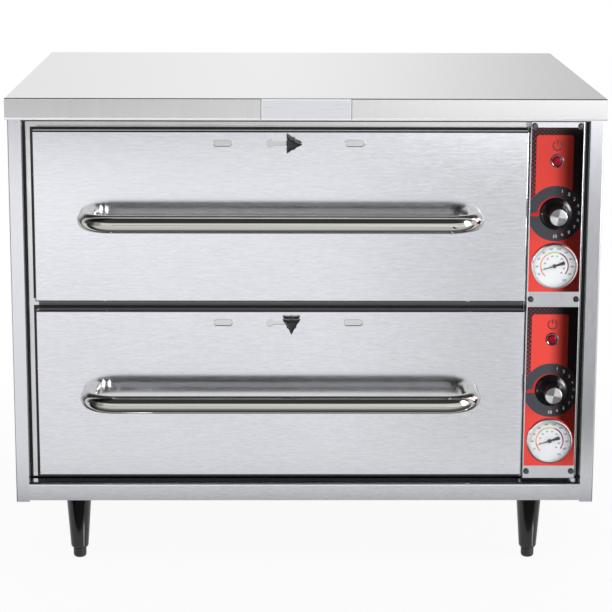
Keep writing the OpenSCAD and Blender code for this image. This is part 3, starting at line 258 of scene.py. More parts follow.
def add_bump(tree, shader, height, strength, distance):
    bump = node(tree, "Bump", {"Strength": strength, "Distance": distance, "Height": height})
    tree.links.new(bump.outputs[0], shader.inputs["Normal"])


# %% [markdown]
# ## The studio
#
# The floor is plain and pale and the light is soft. A white floor that is only lit would go
# grey away from the lamps, so for the camera and for glass the floor and the world show plain
# white, and close to the object the floor keeps enough of its lit colour to hold the shadow.
#
# Steel is nothing without something dark to reflect, so a photographer hangs black cloths
# round it. Here they are painted into what only reflections see. Overhead and at the left
# the room is dark, which draws the dark lines along every bend. The floor darkens towards
# the object, which shades the legs, the bottom rail and the underside of the handles. A
# narrow dark wedge at the right gives the glossy labels their shaded edge. At the right stand
# a soft bright wall and one much brighter card, which lights the knobs, and well in front the
# floor takes the tone of a counter.

# %% Masks by place and direction
def ramp(tree, value, steps):
    """A tone that follows value through a list of (value, tone) steps."""
    low, high = steps[0][0], steps[-1][0]
    made = node(tree, "ValToRGB", {0: spread(tree, value, low, high, 0.0, 1.0)})
    elements = made.color_ramp.elements
    while len(elements) < len(steps):
        elements.new(0.5)
    for element, (place, tone) in zip(elements, steps):
        element.position = (place - low) / (high - low)
        element.color = grey(tone)
    return made.outputs["Color"]


def degrees_right_of_front(tree, across, ahead):
    turn = math_node(tree, "ARCTAN2", across, ahead)
    return times(tree, turn, 180 / math.pi)


def seen_by(tree, *kinds):
    rays = node(tree, "LightPath")
    made = rays.outputs[f"Is {kinds[0]} Ray"]
    for kind in kinds[1:]:
        made = math_node(tree, "ADD", made, rays.outputs[f"Is {kind} Ray"], clamp=True)
    return made


# %% Floor
floor_size = 60.0
floor_colour = (0.86, 0.86, 0.87, 1)
shadow_reach, shadow_fade, shadow_share = 0.5, 1.0, 0.92
floor_behind = 0.9
face_y = -0.2613
mirror_y = 2.383
handle_left_x = -0.28
dark_left = ((-155, 1.0), (-140, 0.07), (-68, 0.07), (-58, 0.4), (-44, 0.5), (-36, 1.0))
dark_left_starts, dark_left_full = 1.5, 2.4
dark_beside = ((-150, 1.0), (-140, 0.22), (-70, 0.22), (-55, 1.0))
dark_wedge = ((1.5, 1.0), (5.0, 0.84), (6.6, 0.8), (6.85, 1.05), (7.38, 1.05), (7.74, 0.03),
              (9.3, 0.03), (10.3, 0.9))
wedge_starts, wedge_full = 0.45, 0.7
floor_ahead = ((0.12, 0.1), (0.27, 0.24), (0.37, 0.66), (0.5, 0.84), (1.5, 0.93), (3.0, 1.0))
far_band = ((-1.3, 0.16), (-0.76, 0.27), (-0.21, 0.5), (0.335, 0.88), (0.884, 1.85), (1.2, 2.2))
far_starts, far_full = 4.35, 4.65
counter_band = ((-0.8, 1.22), (-0.2, 1.05), (0.2, 0.95), (0.55, 0.8), (0.8, 0.7))
counter_starts, counter_full = 1.2, 3.4

bpy.ops.mesh.primitive_plane_add(size=floor_size)
floor = bpy.context.active_object
floor.name = "floor"


def floor_in_reflections(tree, across, ahead):
    from_handle = minus(tree, across, handle_left_x)
    turn = degrees_right_of_front(tree, from_handle, ahead)
    away = rise(tree, length_of(tree, from_handle, ahead), dark_left_starts, dark_left_full)
    left = only_where(tree, away, ramp(tree, turn, dark_left))
    left = tint(tree, left, ramp(tree, turn, dark_beside))
    to_mirror = plus(tree, ahead, mirror_y - face_y)
    from_camera = minus(tree, across, camera_place.x)
    wedge = ramp(tree, degrees_right_of_front(tree, from_camera, to_mirror), dark_wedge)
    wedge = only_where(tree, rise(tree, ahead, wedge_starts, wedge_full), wedge)
    counter = only_where(tree, rise(tree, ahead, counter_starts, counter_full),
                         ramp(tree, across, counter_band))
    near = tint(tree, ramp(tree, ahead, floor_ahead), left, wedge, counter)
    far = rise(tree, ahead, far_starts, far_full)
    return mix_colour(tree, far, near, ramp(tree, across, far_band))


def floor_material():
    material = bpy.data.materials.new("studio_floor")
    tree = new_tree(material)
    where = node(tree, "TexCoord").outputs["Object"]
    parts = node(tree, "SeparateXYZ", {0: where}).outputs
    ahead = minus(tree, face_y, parts["Y"])
    reflected = floor_in_reflections(tree, parts["X"], ahead)
    reflected = mix_colour(tree, less(tree, ahead, 0.0), reflected, grey(floor_behind))
    tone = only_where(tree, seen_by(tree, "Glossy"), reflected)
    away = node(tree, "VectorMath", {0: where}, operation="LENGTH").outputs["Value"]
    far = spread(tree, away, shadow_reach, shadow_fade, shadow_share, 1.0)
    plain_white = math_node(tree, "MAXIMUM", times(tree, seen_by(tree, "Camera"), far),
                            seen_by(tree, "Glossy", "Transmission"))
    lit = node(tree, "BsdfDiffuse", {"Color": floor_colour})
    glow = node(tree, "Emission", {"Color": tone, "Strength": 1.0})
    mix = node(tree, "MixShader", {0: plain_white, 1: lit.outputs[0], 2: glow.outputs[0]})
    node(tree, "OutputMaterial", {"Surface": mix.outputs[0]})
    return material


floor.data.materials.append(floor_material())

# %% World
world_ambient = 0.55
dark_overhead = ((0.40, 1.0), (0.50, 0.055))
overhead_ends = ((-0.02, 1.0), (0.12, 0.0))
behind_tones = ((-0.5, 0.88), (-0.12, 0.9), (0.0, 1.0), (0.06, 0.9), (0.14, 0.62), (0.5, 0.68))
softbox_right = ((25, 1.0), (34, 0.88), (52, 0.88), (60, 1.5), (70, 1.5), (78, 0.82), (106, 0.82),
                 (118, 1.0))
card_turn = ((60, 0.0), (64, 16.0), (72, 16.0), (76, 0.0))
card_up = ((0.02, 0.0), (0.06, 1.0), (0.6, 1.0), (0.68, 0.0))
behind_starts, behind_full = 0.12, 0.3


def studio_world():
    world = bpy.data.worlds.new("studio")
    bpy.context.scene.world = world
    tree = new_tree(world)
    parts = node(tree, "SeparateXYZ", {0: node(tree, "TexCoord").outputs["Generated"]})
    across, back, up = (parts.outputs[axis] for axis in "XYZ")
    turn = degrees_right_of_front(tree, across, times(tree, back, -1))
    sides = tint(tree, ramp(tree, turn, dark_left), ramp(tree, turn, softbox_right))
    front = ramp(tree, back, overhead_ends)
    room = tint(tree, sides, only_where(tree, front, ramp(tree, up, dark_overhead)))
    behind = rise(tree, back, behind_starts, behind_full)
    room = mix_colour(tree, behind, room, ramp(tree, across, behind_tones))
    card = tint(tree, ramp(tree, turn, card_turn), ramp(tree, up, card_up))
    room = mix_colour(tree, 1.0, room, card, "LIGHTEN")
    tone = only_where(tree, seen_by(tree, "Glossy"), room)
    strength = spread(tree, seen_by(tree, "Camera", "Glossy", "Transmission"), 0, 1,
                      world_ambient, 1.0)
    light = node(tree, "Background", {"Color": tone, "Strength": strength})
    node(tree, "OutputWorld", {"Surface": light.outputs[0]})


studio_world()

# %% Lamps
def soft_lamp(name, place, target, width, height, watts, mirrored=True):
    data = bpy.data.lights.new(name, "AREA")
    data.shape = "RECTANGLE"
    data.size, data.size_y = width, height
    data.energy = watts
    lamp = bpy.data.objects.new(name, data)
    bpy.context.scene.collection.objects.link(lamp)
    lamp.location = place
    lamp.rotation_mode = "QUATERNION"
    lamp.rotation_quaternion = (Vector(target) - Vector(place)).to_track_quat("-Z", "Y")
    lamp.visible_glossy = mirrored
    return lamp


middle = (0, 0, 0.35)
soft_lamp("strip_lamp", (2.15, -1.35, 0.75), (0.1, -0.26, 0.4), 0.45, 1.4, 16)
soft_lamp("fill_lamp", (-0.9, -2.4, 2.2), middle, 1.6, 1.2, 24, mirrored=False)
soft_lamp("back_lamp", (0.3, 1.9, 2.0), middle, 1.6, 0.8, 10, mirrored=False)

# %% [markdown]
# The black legs show one narrow bright line each, at the right of their middle. It comes
# from a thin light that lies on the floor and that nothing but a reflection can see.

# %% Glints for the legs
glint_from_front = math.radians(54)
glint_near, glint_far, glint_width = 0.03, 0.11, 0.012
glint_strength = 7.0
front_leg_places = ((-0.296, -0.1733), (0.296, -0.1733))


def floor_glint(name, place):
    bpy.ops.object.select_all(action="DESELECT")
    bpy.ops.mesh.primitive_plane_add(size=1)
    strip = bpy.context.active_object
    strip.name = name
    along = Vector((math.sin(glint_from_front), -math.cos(glint_from_front), 0))
    aside = Vector((-along.y, along.x, 0)) * glint_width
    start = Vector((*place, 0.001))
    corners = [start + along * glint_near - aside * 0.1, start + along * glint_far - aside,
               start + along * glint_near + aside * 0.1, start + along * glint_far + aside]
    for vertex, corner in zip(strip.data.vertices, corners):
        vertex.co = corner
    material = bpy.data.materials.new(name)
    tree = new_tree(material)
    glow = node(tree, "Emission", {"Strength": glint_strength})
    node(tree, "OutputMaterial", {"Surface": glow.outputs[0]})
    strip.data.materials.append(material)
    for kind in ("camera", "diffuse", "shadow", "transmission", "volume_scatter"):
        setattr(strip, f"visible_{kind}", False)


for number, place in enumerate(front_leg_places):
    floor_glint(f"leg_glint_{number}", place)

# %% [markdown]
# ## Effects that several finishes share
#
# Brushed sheet is covered with fine scratches that all run one way. Noise does this when its
# space is squeezed: tens of waves per metre along the scratches, hundreds across them. The
# `brushed_grain` group lays a fine noise over a coarse one and gives a tone and a height.
# `handling_marks` is a slow cloud: steel that is wiped by hand is never evenly bright.
# `fine_speckle` is the dry, even pitting of moulded plastic and paint.

# %% Shared groups
def noise(tree, place, scale=1.0, **settings):
    return node(tree, "TexNoise", {"Vector": place, "Scale": scale, **settings}).outputs[0]


def make_brushed_grain():
    group, given, made = new_group("brushed_grain", {"Vector": None}, ["Tone", "Height"])
    place = given.outputs["Vector"]
    coarse = noise(group, place, Detail=3.0, Roughness=0.6)
    closer = node(group, "VectorMath", {0: place, 1: (2.6, 3.4, 2.6)}, operation="MULTIPLY")
    fine = noise(group, closer.outputs[0], Detail=2.0, Roughness=0.7)
    both = math_node(group, "MULTIPLY_ADD", fine, 0.55, times(group, coarse, 0.45))
    group.links.new(rise(group, both, 0.3, 0.7), made.inputs["Tone"])
    group.links.new(both, made.inputs["Height"])
    return group


def make_handling_marks():
    group, given, made = new_group("handling_marks", {"Vector": None, "Scale": 5.0}, ["Tone"])
    cloud = noise(group, given.outputs["Vector"], given.outputs["Scale"], Detail=4.0,
                  Roughness=0.55, Distortion=0.4)
    group.links.new(rise(group, cloud, 0.32, 0.68), made.inputs["Tone"])
    return group


def make_fine_speckle():
    group, given, made = new_group("fine_speckle", {"Vector": None, "Scale": 900.0},
                                   ["Tone", "Height"])
    place = given.outputs["Vector"]
    grain = noise(group, place, given.outputs["Scale"], Detail=2.0, Roughness=0.5)
    cloud = noise(group, place, 22.0, Detail=3.0)
    mixed = math_node(group, "MULTIPLY_ADD", grain, 0.35, times(group, cloud, 0.65))
    group.links.new(rise(group, mixed, 0.35, 0.65), made.inputs["Tone"])
    group.links.new(grain, made.inputs["Height"])
    return group


brushed_grain = make_brushed_grain()
handling_marks = make_handling_marks()
fine_speckle = make_fine_speckle()
print("shared groups:", [group.name for group in bpy.data.node_groups])

# %% [markdown]
# ## Steel finishes
#
# All the sheet is one alloy, but each piece is cut with its grain another way: along the
# drawer fronts and the bottom rail, up the side panels and the control panel, and front to
# back over the top cover, so that its front band shows the grain upright. Scratches spread a
# reflection across themselves, so the shader's tangent lies across the grain too.

# %% Brushed steel
grain_along = 50.0
grain_across = 420.0


def sheet_steel(name, colour, scale, across, roughness=0.115, contrast=0.11):
    """Brushed sheet: scale squeezes the grain's space, across is the way that it scatters."""
    material, tree, shader = new_material(name, Metallic=1.0, Anisotropic=0.55)
    grain = use_group(tree, brushed_grain, {"Vector": object_place(tree, scale)})
    marks = over(tree, handling_marks, 4.0)
    tone = mix_colour(tree, grain["Tone"], darker(colour, contrast), darker(colour, -contrast))
    wiped = mix_colour(tree, marks["Tone"], (0.965, 0.965, 0.97, 1), white)
    rough = spread(tree, grain["Tone"], 0, 1, roughness - 0.02, roughness + 0.02)
    rough = math_node(tree, "MULTIPLY_ADD", marks["Tone"], 0.02, rough)
    tree.links.new(rough, shader.inputs["Roughness"])
    dress(tree, shader, tint(tree, tone, wiped))
    add_bump(tree, shader, grain["Height"], 0.12, 0.00003)
    way = node(tree, "CombineXYZ", dict(enumerate(across)))
    tree.links.new(way.outputs[0], shader.inputs["Tangent"])
    return material


steel_colour = (0.795, 0.803, 0.845)
grain_level = (grain_along, grain_across, grain_across)
grain_upright = (grain_across, grain_across, grain_along)
drawers_foot_z = 0.14


def dull_top_flanges(material, shade_tone):
    """Painted shade: faces that look up, above the foot of the drawers, are darkened for the shade
    of the gaps.
    """
    tree = material.node_tree
    mask = times(tree, rise(tree, parts_of_normal(tree)["Z"], 0.1, 0.5),
                 more(tree, parts_of_place(tree)["Z"], drawers_foot_z))
    shade_finish(material, mask, grey(shade_tone))


front_steel = sheet_steel("front_steel", steel_colour, grain_level, (0, 0, 1))
side_steel = sheet_steel("side_steel", steel_colour, grain_upright, (1, 0, 0), 0.2, 0.04)
panel_steel = sheet_steel("panel_steel", steel_colour, grain_upright, (1, 0, 0), 0.24, 0.05)
# Painted shade on the top flanges of the drawer fronts, for the shade inside the gaps.
dull_top_flanges(front_steel, 0.28)
print("brushed:", front_steel.name, side_steel.name, panel_steel.name)

# %% [markdown]
# The front flange of a side panel turns back into the gap beside the drawers. That return gets
# a painted shade, so it shows as two dark lines with a grey one between. Each step below is a
# place along the depth and its tone.

# %% Painted shade on the return of the side flanges
return_inner_x, return_outer_x = 0.3500, 0.35062
return_shade_tones = ((-0.2604, 1.0), (-0.2596, 0.1), (-0.2540, 0.12), (-0.2520, 0.55),
                (-0.2470, 0.55), (-0.2450, 0.15), (-0.2400, 0.15))


def dull_return(material):
    tree = material.node_tree
    parts = parts_of_place(tree)
    aside = size_of(tree, parts["X"])
    mask = times(tree, more(tree, aside, return_inner_x), less(tree, aside, return_outer_x),
                 less(tree, parts["Y"], return_shade_tones[-1][0]))
    shade_finish(material, mask, ramp(tree, parts["Y"], return_shade_tones))


# Painted shade on the returns of the side flanges.
dull_return(side_steel)
return_depth = return_shade_tones[-1][0] - return_shade_tones[0][0]
print("the return is dulled", round(return_depth * 1000, 1), "mm deep")

# %% [markdown]
# The cover's grain runs front to back, so it is level on the top, upright on the front and
# back bands, and level again on the two side bands. On those, the squeezed axis has to be
# the upright one, so the sheet's own normal chooses between two squeezed spaces.

# %% Cover steel
def cover_finish():
    grain_crosswise, grain_on_sides = (grain_across, 4, 4), (4, 4, grain_across)
    material = sheet_steel("cover_steel", (0.75, 0.75, 0.755), grain_crosswise, (1, 0, 0),
                           0.22, 0.03)
    tree = material.node_tree
    grain = next(n for n in tree.nodes if n.type == "GROUP" and n.node_tree == brushed_grain)
    sideways = more(tree, size_of(tree, parts_of_normal(tree)["X"]), 0.7)
    spaces = {0: sideways, 4: object_place(tree, grain_crosswise),
              5: object_place(tree, grain_on_sides)}
    chosen = node(tree, "Mix", spaces, data_type="VECTOR")
    tree.links.new(chosen.outputs[1], grain.inputs["Vector"])
    return material


cover_steel = cover_finish()

# %% [markdown]
# Inside, the sheet is as it left the mill: a soft, cloudy grey without grain. The same
# function makes the liners, the frames, the drawn food pans and the zinc of the slides,
# with other colours and roughness. The handle tube, the bezels and the screws are polished
# or plated, and only fine hairlines keep them from looking like glass.

# %% Mill finish, plated and polished metal
def mill_metal(name, colour, roughness, cloud_scale, cloudiness=0.1):
    material, tree, shader = new_material(name, Metallic=1.0)
    marks = over(tree, handling_marks, cloud_scale)
    speckle = over(tree, fine_speckle, 700.0)
    tone = mix_colour(tree, marks["Tone"], darker(colour, cloudiness), darker(colour, 0))
    dress(tree, shader, tone, speckle["Tone"], (roughness - 0.05, roughness + 0.06))
    add_bump(tree, shader, speckle["Height"], 0.15, 0.00003)
    return material


def polished_metal(name, colour, roughness, scale):
    material, tree, shader = new_material(name, Metallic=1.0)
    lines = use_group(tree, brushed_grain, {"Vector": object_place(tree, scale)})
    tone = mix_colour(tree, lines["Tone"], darker(colour, 0.06), darker(colour, 0))
    dress(tree, shader, tone, lines["Tone"], (roughness, roughness + 0.05))
    return material


plate_middle_z = 0.6042
plate_rim_x, plate_rim_z, plate_end_x = 0.0540, 0.0112, 0.0552


def plate_finish():
    """Anodised sheet: pale, half matt, with a bright rim and a dark line down each end."""
    material, tree, shader = new_material("plate_silver", Metallic=0.35)
    lines = use_group(tree, brushed_grain, {"Vector": object_place(tree, (8, 500, 500))})
    tone = mix_colour(tree, lines["Tone"], (0.70, 0.715, 0.76, 1), (0.78, 0.79, 0.83, 1))
    parts = parts_of_place(tree)
    along = size_of(tree, parts["X"])
    up = size_of(tree, minus(tree, parts["Z"], plate_middle_z))
    rim = math_node(tree, "MAXIMUM", minus(tree, along, plate_rim_x),
                    minus(tree, up, plate_rim_z))
    tone = mix_colour(tree, more(tree, rim, 0.0), tone, (0.95, 0.95, 0.97, 1))
    tone = mix_colour(tree, more(tree, along, plate_end_x), tone, (0.05, 0.05, 0.055, 1))
    dress(tree, shader, tone, lines["Tone"], (0.26, 0.34))
    return material


plate_silver = plate_finish()
inner_steel = mill_metal("inner_steel", (0.60, 0.60, 0.60), 0.34, 3.0)
frame_steel = mill_metal("frame_steel", (0.72, 0.72, 0.73), 0.13, 5.0)
pan_steel = mill_metal("pan_steel", (0.70, 0.70, 0.70), 0.22, 4.0)
slide_steel = mill_metal("slide_steel", (0.58, 0.60, 0.61), 0.24, 9.0, 0.2)
thermostat_metal = mill_metal("thermostat_metal", (0.5, 0.51, 0.54), 0.3, 20.0)
tube_polished = polished_metal("tube_polished", (0.60, 0.595, 0.565), 0.07, (6, 300, 300))
bezel_chrome = polished_metal("bezel_chrome", (0.78, 0.78, 0.79), 0.06, (60, 60, 500))
screw_steel = polished_metal("screw_steel", (0.6, 0.6, 0.6), 0.2, (200, 200, 200))
screw_black = polished_metal("screw_black", (0.16, 0.16, 0.17), 0.14, (300, 300, 300))

# %% [markdown]
# Between the two drawers the face frame gets a painted shade, for the shade of the gap. That
# stretch is darkened by its place, in a band as high as the gap and as wide as the drawers.

# %% Painted shade on the face frame between the drawers
gap_left_x, gap_right_x = -0.336, 0.2755
gap_foot_z, gap_head_z = 0.349, 0.3655


def brown_the_gap(material):
    tree = material.node_tree
    parts = parts_of_place(tree)
    inside = times(tree, more(tree, parts["X"], gap_left_x), less(tree, parts["X"], gap_right_x),
                   more(tree, parts["Z"], gap_foot_z), less(tree, parts["Z"], gap_head_z))
    # Painted shade: a dark grey over the stretch between the drawers.
    shade_finish(material, inside, (0.24, 0.235, 0.24, 1))


brown_the_gap(frame_steel)

# %% [markdown]
# ## Plastics, paint and wool
#
# The legs and knobs are hard black moulding: dark, glossy, with a faint speckle that breaks
# the highlight. The feet and the cable gland are the same black but dull. Mineral wool is a
# tangle: two noises at right angles, one stretched along each way, with a deep bump.

# %% Plastics and wool
def moulded(name, colour, roughness, speckle_scale=900.0, depth=0.2):
    material, tree, shader = new_material(name)
    speckle = over(tree, fine_speckle, speckle_scale)
    tone = mix_colour(tree, speckle["Tone"], darker(colour, 0.25), darker(colour, 0))
    dress(tree, shader, tone, speckle["Tone"], (roughness, roughness + 0.1))
    add_bump(tree, shader, speckle["Height"], depth, 0.00005)
    return material


leg_black = moulded("leg_black", (0.006, 0.006, 0.007), 0.1, 700.0, 0.1)
foot_black = moulded("foot_black", (0.010, 0.010, 0.010), 0.35)
gland_black = moulded("gland_black", (0.02, 0.02, 0.021), 0.45)
knob_black = moulded("knob_black", (0.006, 0.006, 0.007), 0.12, depth=0.1)
vent_knob_black = moulded("vent_knob_black", (0.016, 0.016, 0.017), 0.3)
needle_black = moulded("needle_black", (0.03, 0.03, 0.032), 0.35)
terminal_white = moulded("terminal_white", (0.75, 0.74, 0.70), 0.4)
element_dark = moulded("element_dark", (0.10, 0.09, 0.08), 0.5, 400.0)


def wool_finish():
    material, tree, shader = new_material("wool", Roughness=0.95)
    first = noise(tree, object_place(tree, (40, 500, 500)), Detail=4.0)
    second = noise(tree, object_place(tree, (500, 40, 300)), Detail=4.0)
    tangle = math_node(tree, "MAXIMUM", first, second)
    dress(tree, shader, mix_colour(tree, rise(tree, tangle, 0.4, 0.7), (0.42, 0.36, 0.22, 1),
                                   (0.74, 0.68, 0.50, 1)))
    add_bump(tree, shader, tangle, 0.8, 0.001)
    return material


wool = wool_finish()

# %% [markdown]
# ## The printed labels
#
# Each control label is a glossy film over a mirror-like foil: the red turns almost black
# where the foil reflects the dark side of the room, and the white of the dial next to it
# does not. So the label is a metal with a red colour. The print is worked out in millimetres
# from the label's own foot: `u` across from its middle line, `v` up. The label repeats, so
# `v` starts again at the second one. Red dots in the dark border grow towards the bottom
# until they close up, like any halftone. A wide dark ring carries the thermostat's scale,
# with a tapering red arc and a red tick near each number.

# %% Where the labels are
label_middle_x = 0.3098
label_foot_z = 0.150
label_pitch = 0.226
knob_v, lamp_v, gauge_v = 99.1, 165.0, 33.2
label_feet = {"lower": label_foot_z, "upper": label_foot_z + label_pitch}

# %% Masks for printing
def printed_place(tree, middle_v):
    """Millimetres across and up from a point of the label, the same on both labels."""
    where = node(tree, "TexCoord").outputs["Object"]
    foot = (-1000 * label_middle_x, 0, -1000 * label_foot_z)
    where = node(tree, "Mapping", {"Vector": where, "Location": foot, "Scale": (1000,) * 3})
    parts = node(tree, "SeparateXYZ", {0: where.outputs[0]})
    up = math_node(tree, "MODULO", parts.outputs["Z"], 1000 * label_pitch)
    return parts.outputs["X"], minus(tree, up, middle_v)


def clockwise_degrees(tree, across, up, start):
    """The angle from twelve o'clock, clockwise, counted from start degrees."""
    turn = degrees_right_of_front(tree, across, up)
    return math_node(tree, "MODULO", plus(tree, turn, 720 - start), 360)


# %% Label print
dot_pitch = 5.5
label_red_ink = (0.95, 0.085, 0.066, 1)
border_dot_ink = (0.42, 0.06, 0.06, 1)
label_dark_ink = (0.035, 0.03, 0.034, 1)
ring_ink = (0.075, 0.078, 0.09, 1)
mark_ink = (0.72, 0.03, 0.035, 1)
ring_radius = 34.8


# How the dots grow: from one place on the label to another, and the radius or share at each.
dots_above_knob, dots_rightwards = (100, 205, 1.75, 0.75), (-20, 24, 1.0, 0.35)
dots_below_knob, dots_leftwards = (45, 92, 2.9, 2.05), (-28, -12, 0.0, 0.8)
# The plain red field round the lamp, in millimetres.
field_left_by, field_half, field_top, field_corner = 3, 19, 193, 4
# The arc on the ring: its ends in degrees, its inner radius, and how it tapers between them.
arc_start, arc_end, arc_inner = 12, 142, 19.6
arc_tapers = (12, 135, 3.6, 0.9)
# The blade at the arc's thick end and the ticks: degrees round the ring, millimetres across it.
blade_at, blade_half, blade_length = 17, 6, 12.0
tick_every, tick_inner, tick_outer, tick_half = 18, 23.6, 26.4, 0.5
mm_per_degree = 0.43


def halftone(tree, across, up):
    half = dot_pitch / 2
    near_x = math_node(tree, "PINGPONG", across, half)
    near_y = math_node(tree, "PINGPONG", up, half)
    one = length_of(tree, near_x, near_y)
    other = length_of(tree, minus(tree, half, near_x), minus(tree, half, near_y))
    dot = math_node(tree, "MINIMUM", one, other)
    growing = times(tree, spread(tree, up, *dots_above_knob),
                    spread(tree, across, *dots_rightwards))
    closing = plus(tree, spread(tree, up, *dots_below_knob),
                   spread(tree, across, *dots_leftwards))
    reach = node(tree, "Mix", {0: more(tree, up, knob_v), 2: closing, 3: growing}).outputs[0]
    return below(tree, minus(tree, dot, reach), 0)


def rounded_field(tree, across, up):
    past_x = size_of(tree, plus(tree, across, field_left_by))
    past_x = math_node(tree, "MAXIMUM", minus(tree, past_x, field_half), 0)
    past_y = math_node(tree, "MAXIMUM", minus(tree, up, field_top), 0)
    field = below(tree, length_of(tree, past_x, past_y), field_corner)
    return times(tree, field, more(tree, up, knob_v))


def ring_marks(tree, across, up):
    """The tapering arc with a blade at its thick end, and a tick near each number."""
    radius = length_of(tree, across, up)
    turn = clockwise_degrees(tree, across, up, -110)
    from_blade = size_of(tree, minus(tree, turn, blade_at))
    blade = spread(tree, from_blade, 0, blade_half, blade_length, 0.0)
    width = plus(tree, plus(tree, spread(tree, turn, *arc_tapers), blade), arc_inner)
    arc = times(tree, below(tree, minus(tree, radius, width), 0),
                between(tree, turn, arc_start, arc_end, 1.0))
    from_top = clockwise_degrees(tree, across, up, 0)
    aside = times(tree, math_node(tree, "PINGPONG", from_top, tick_every / 2), mm_per_degree)
    tick = times(tree, below(tree, aside, tick_half), between(tree, radius, tick_inner, tick_outer),
                 between(tree, from_top, 9, 189, 0.5))
    return math_node(tree, "MAXIMUM", arc, tick), radius


def label_finish():
    material, tree, shader = new_material("label_print", Metallic=0.93, Coat_Weight=0.15)
    across, up = printed_place(tree, 0)
    dots = halftone(tree, across, up)
    low_on_label = rise(tree, up, 120, 60)
    dot_ink = mix_colour(tree, low_on_label, border_dot_ink, label_red_ink)
    border = mix_colour(tree, dots, label_dark_ink, dot_ink)
    border = mix_colour(tree, rounded_field(tree, across, up), border, label_red_ink)
    across, up = printed_place(tree, knob_v)
    marks, radius = ring_marks(tree, across, up)
    ringed = mix_colour(tree, below(tree, radius, ring_radius), border, ring_ink)
    printed = mix_colour(tree, marks, ringed, mark_ink)
    wipes = over(tree, handling_marks, 16.0)
    faint = mix_colour(tree, wipes["Tone"], (0.96, 0.96, 0.97, 1), white)
    dress(tree, shader, tint(tree, printed, faint), wipes["Tone"], (0.025, 0.04))
    return material


label_print = label_finish()
print("label print uses", len(label_print.node_tree.nodes), "nodes")

# %% [markdown]
# ## Dial, glass and lamp
#
# The thermometer's face is matt white paint with a coloured arc: orange for too cool, green
# for serving, dark red for too hot. Short ticks run round the rim. The glass over it is thin
# and clear, and lets the light of the studio through to the dial. The pilot lamp is off, so
# its lens is a deep, glossy red.

# %% Dial print, glass and lens
dial_white, dial_tick_ink = (0.84, 0.85, 0.88, 1), (0.10, 0.10, 0.16, 1)
dial_orange, dial_green = (0.85, 0.30, 0.10, 1), (0.45, 0.58, 0.10, 1)
dial_dark_red = (0.30, 0.04, 0.10, 1)
dial_arcs = ((221, 322, dial_orange), (322, 360, dial_green), (0, 21, dial_green),
             (21, 127, dial_dark_red))
dial_ticks = ((18.125, 24.4, 26.4, 0.2), (3.625, 25.3, 26.4, 0.1))
dial_start, dial_swing = 215, 290
dial_arc_inner, dial_arc_outer, dial_mm_per_degree = 16.3, 18.0, 0.44


def dial_finish():
    """Ticks are given by their pitch in degrees, inner and outer radius and half width."""
    material, tree, shader = new_material("dial_print", Roughness=0.45)
    across, up = printed_place(tree, gauge_v)
    radius = length_of(tree, across, up)
    turn = clockwise_degrees(tree, across, up, 0)
    arc = between(tree, radius, dial_arc_inner, dial_arc_outer)
    printed = dial_white
    for start, end, ink in dial_arcs:
        stretch = times(tree, arc, between(tree, turn, start, end, 0.7))
        printed = mix_colour(tree, stretch, printed, ink)
    turn = clockwise_degrees(tree, across, up, dial_start)
    scale = between(tree, turn, 0, dial_swing, 0.5)
    for step, inner, outer, half in dial_ticks:
        away = math_node(tree, "PINGPONG", turn, step / 2)
        away = times(tree, away, dial_mm_per_degree)
        tick = times(tree, below(tree, away, half, 0.1), between(tree, radius, inner, outer), scale)
        printed = mix_colour(tree, tick, printed, dial_tick_ink)
    speckle = over(tree, fine_speckle, 1200.0)
    faint = mix_colour(tree, speckle["Tone"], grey(0.985), white)
    dress(tree, shader, tint(tree, printed, faint), speckle["Tone"], (0.4, 0.5))
    return material


def glass_finish():
    material, tree, shader = new_material("glass_clear", Transmission_Weight=1.0, IOR=1.45)
    wipes = over(tree, handling_marks, 30.0)
    tone = mix_colour(tree, wipes["Tone"], (0.99, 0.995, 0.995, 1), white)
    dress(tree, shader, tone, wipes["Tone"], (0.0, 0.03))
    lets_light_in = minus(tree, 1.0, seen_by(tree, "Shadow"))
    tree.links.new(lets_light_in, shader.inputs["Alpha"])
    return material


def lens_finish():
    material, tree, shader = new_material("lens_red", IOR=1.3)
    speckle = over(tree, fine_speckle, 500.0)
    tone = mix_colour(tree, speckle["Tone"], (0.22, 0.0, 0.008, 1), (0.30, 0.0, 0.014, 1))
    dress(tree, shader, tone, speckle["Tone"], (0.1, 0.18))
    return material


dial_print = dial_finish()
glass_clear = glass_finish()
lens_red = lens_finish()

# %% [markdown]
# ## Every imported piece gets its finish
#
# The record names a material slot for each piece. Each of those names has a finish above,
# so one loop can dress the whole cabinet.

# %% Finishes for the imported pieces
finishes = {
    "cover_steel": cover_steel, "side_steel": side_steel, "front_steel": front_steel,
    "frame_steel": frame_steel, "inner_steel": inner_steel, "panel_steel": panel_steel,
    "plate_silver": plate_silver, "tube_polished": tube_polished, "pan_steel": pan_steel,
    "slide_steel": slide_steel, "screw_steel": screw_steel, "screw_black": screw_black,
    "label_red": label_print, "knob_black": knob_black, "bezel_chrome": bezel_chrome,
    "lens_red": lens_red, "dial_white": dial_print, "glass_clear": glass_clear,
    "needle_black": needle_black, "leg_black": leg_black, "foot_black": foot_black,
    "gland_black": gland_black, "wool": wool, "element_dark": element_dark,
    "thermostat_metal": thermostat_metal, "terminal_white": terminal_white,
}
for piece in nodes.values():
    for place in piece.material_slots:
        place.material = finishes[place.material.name.split(".")[0]]
print("dressed", len(nodes), "packed pieces with", len(finishes), "finishes")

# %% [markdown]
# ## Tools for modelling by hand
#
# The small parts below are made as a hand would make them: a disc or a plane is added at its
# place, then pulled, scaled and bevelled in edit mode. Everything is deselected first, because
# an operator acts on all that is selected. At the end doubles are merged, the normals are
# recalculated and the place is applied, so each object sits at the origin like a packed one.

# %% Modelling helpers
mm = 0.001
facing_front = (math.radians(90), 0, 0)


def start_clean():
    bpy.ops.object.select_all(action="DESELECT")


def open_for_editing(kind="FACE"):
    bpy.ops.object.mode_set(mode="EDIT")
    bpy.ops.mesh.select_mode(type=kind)
    bpy.ops.mesh.select_all(action="SELECT")


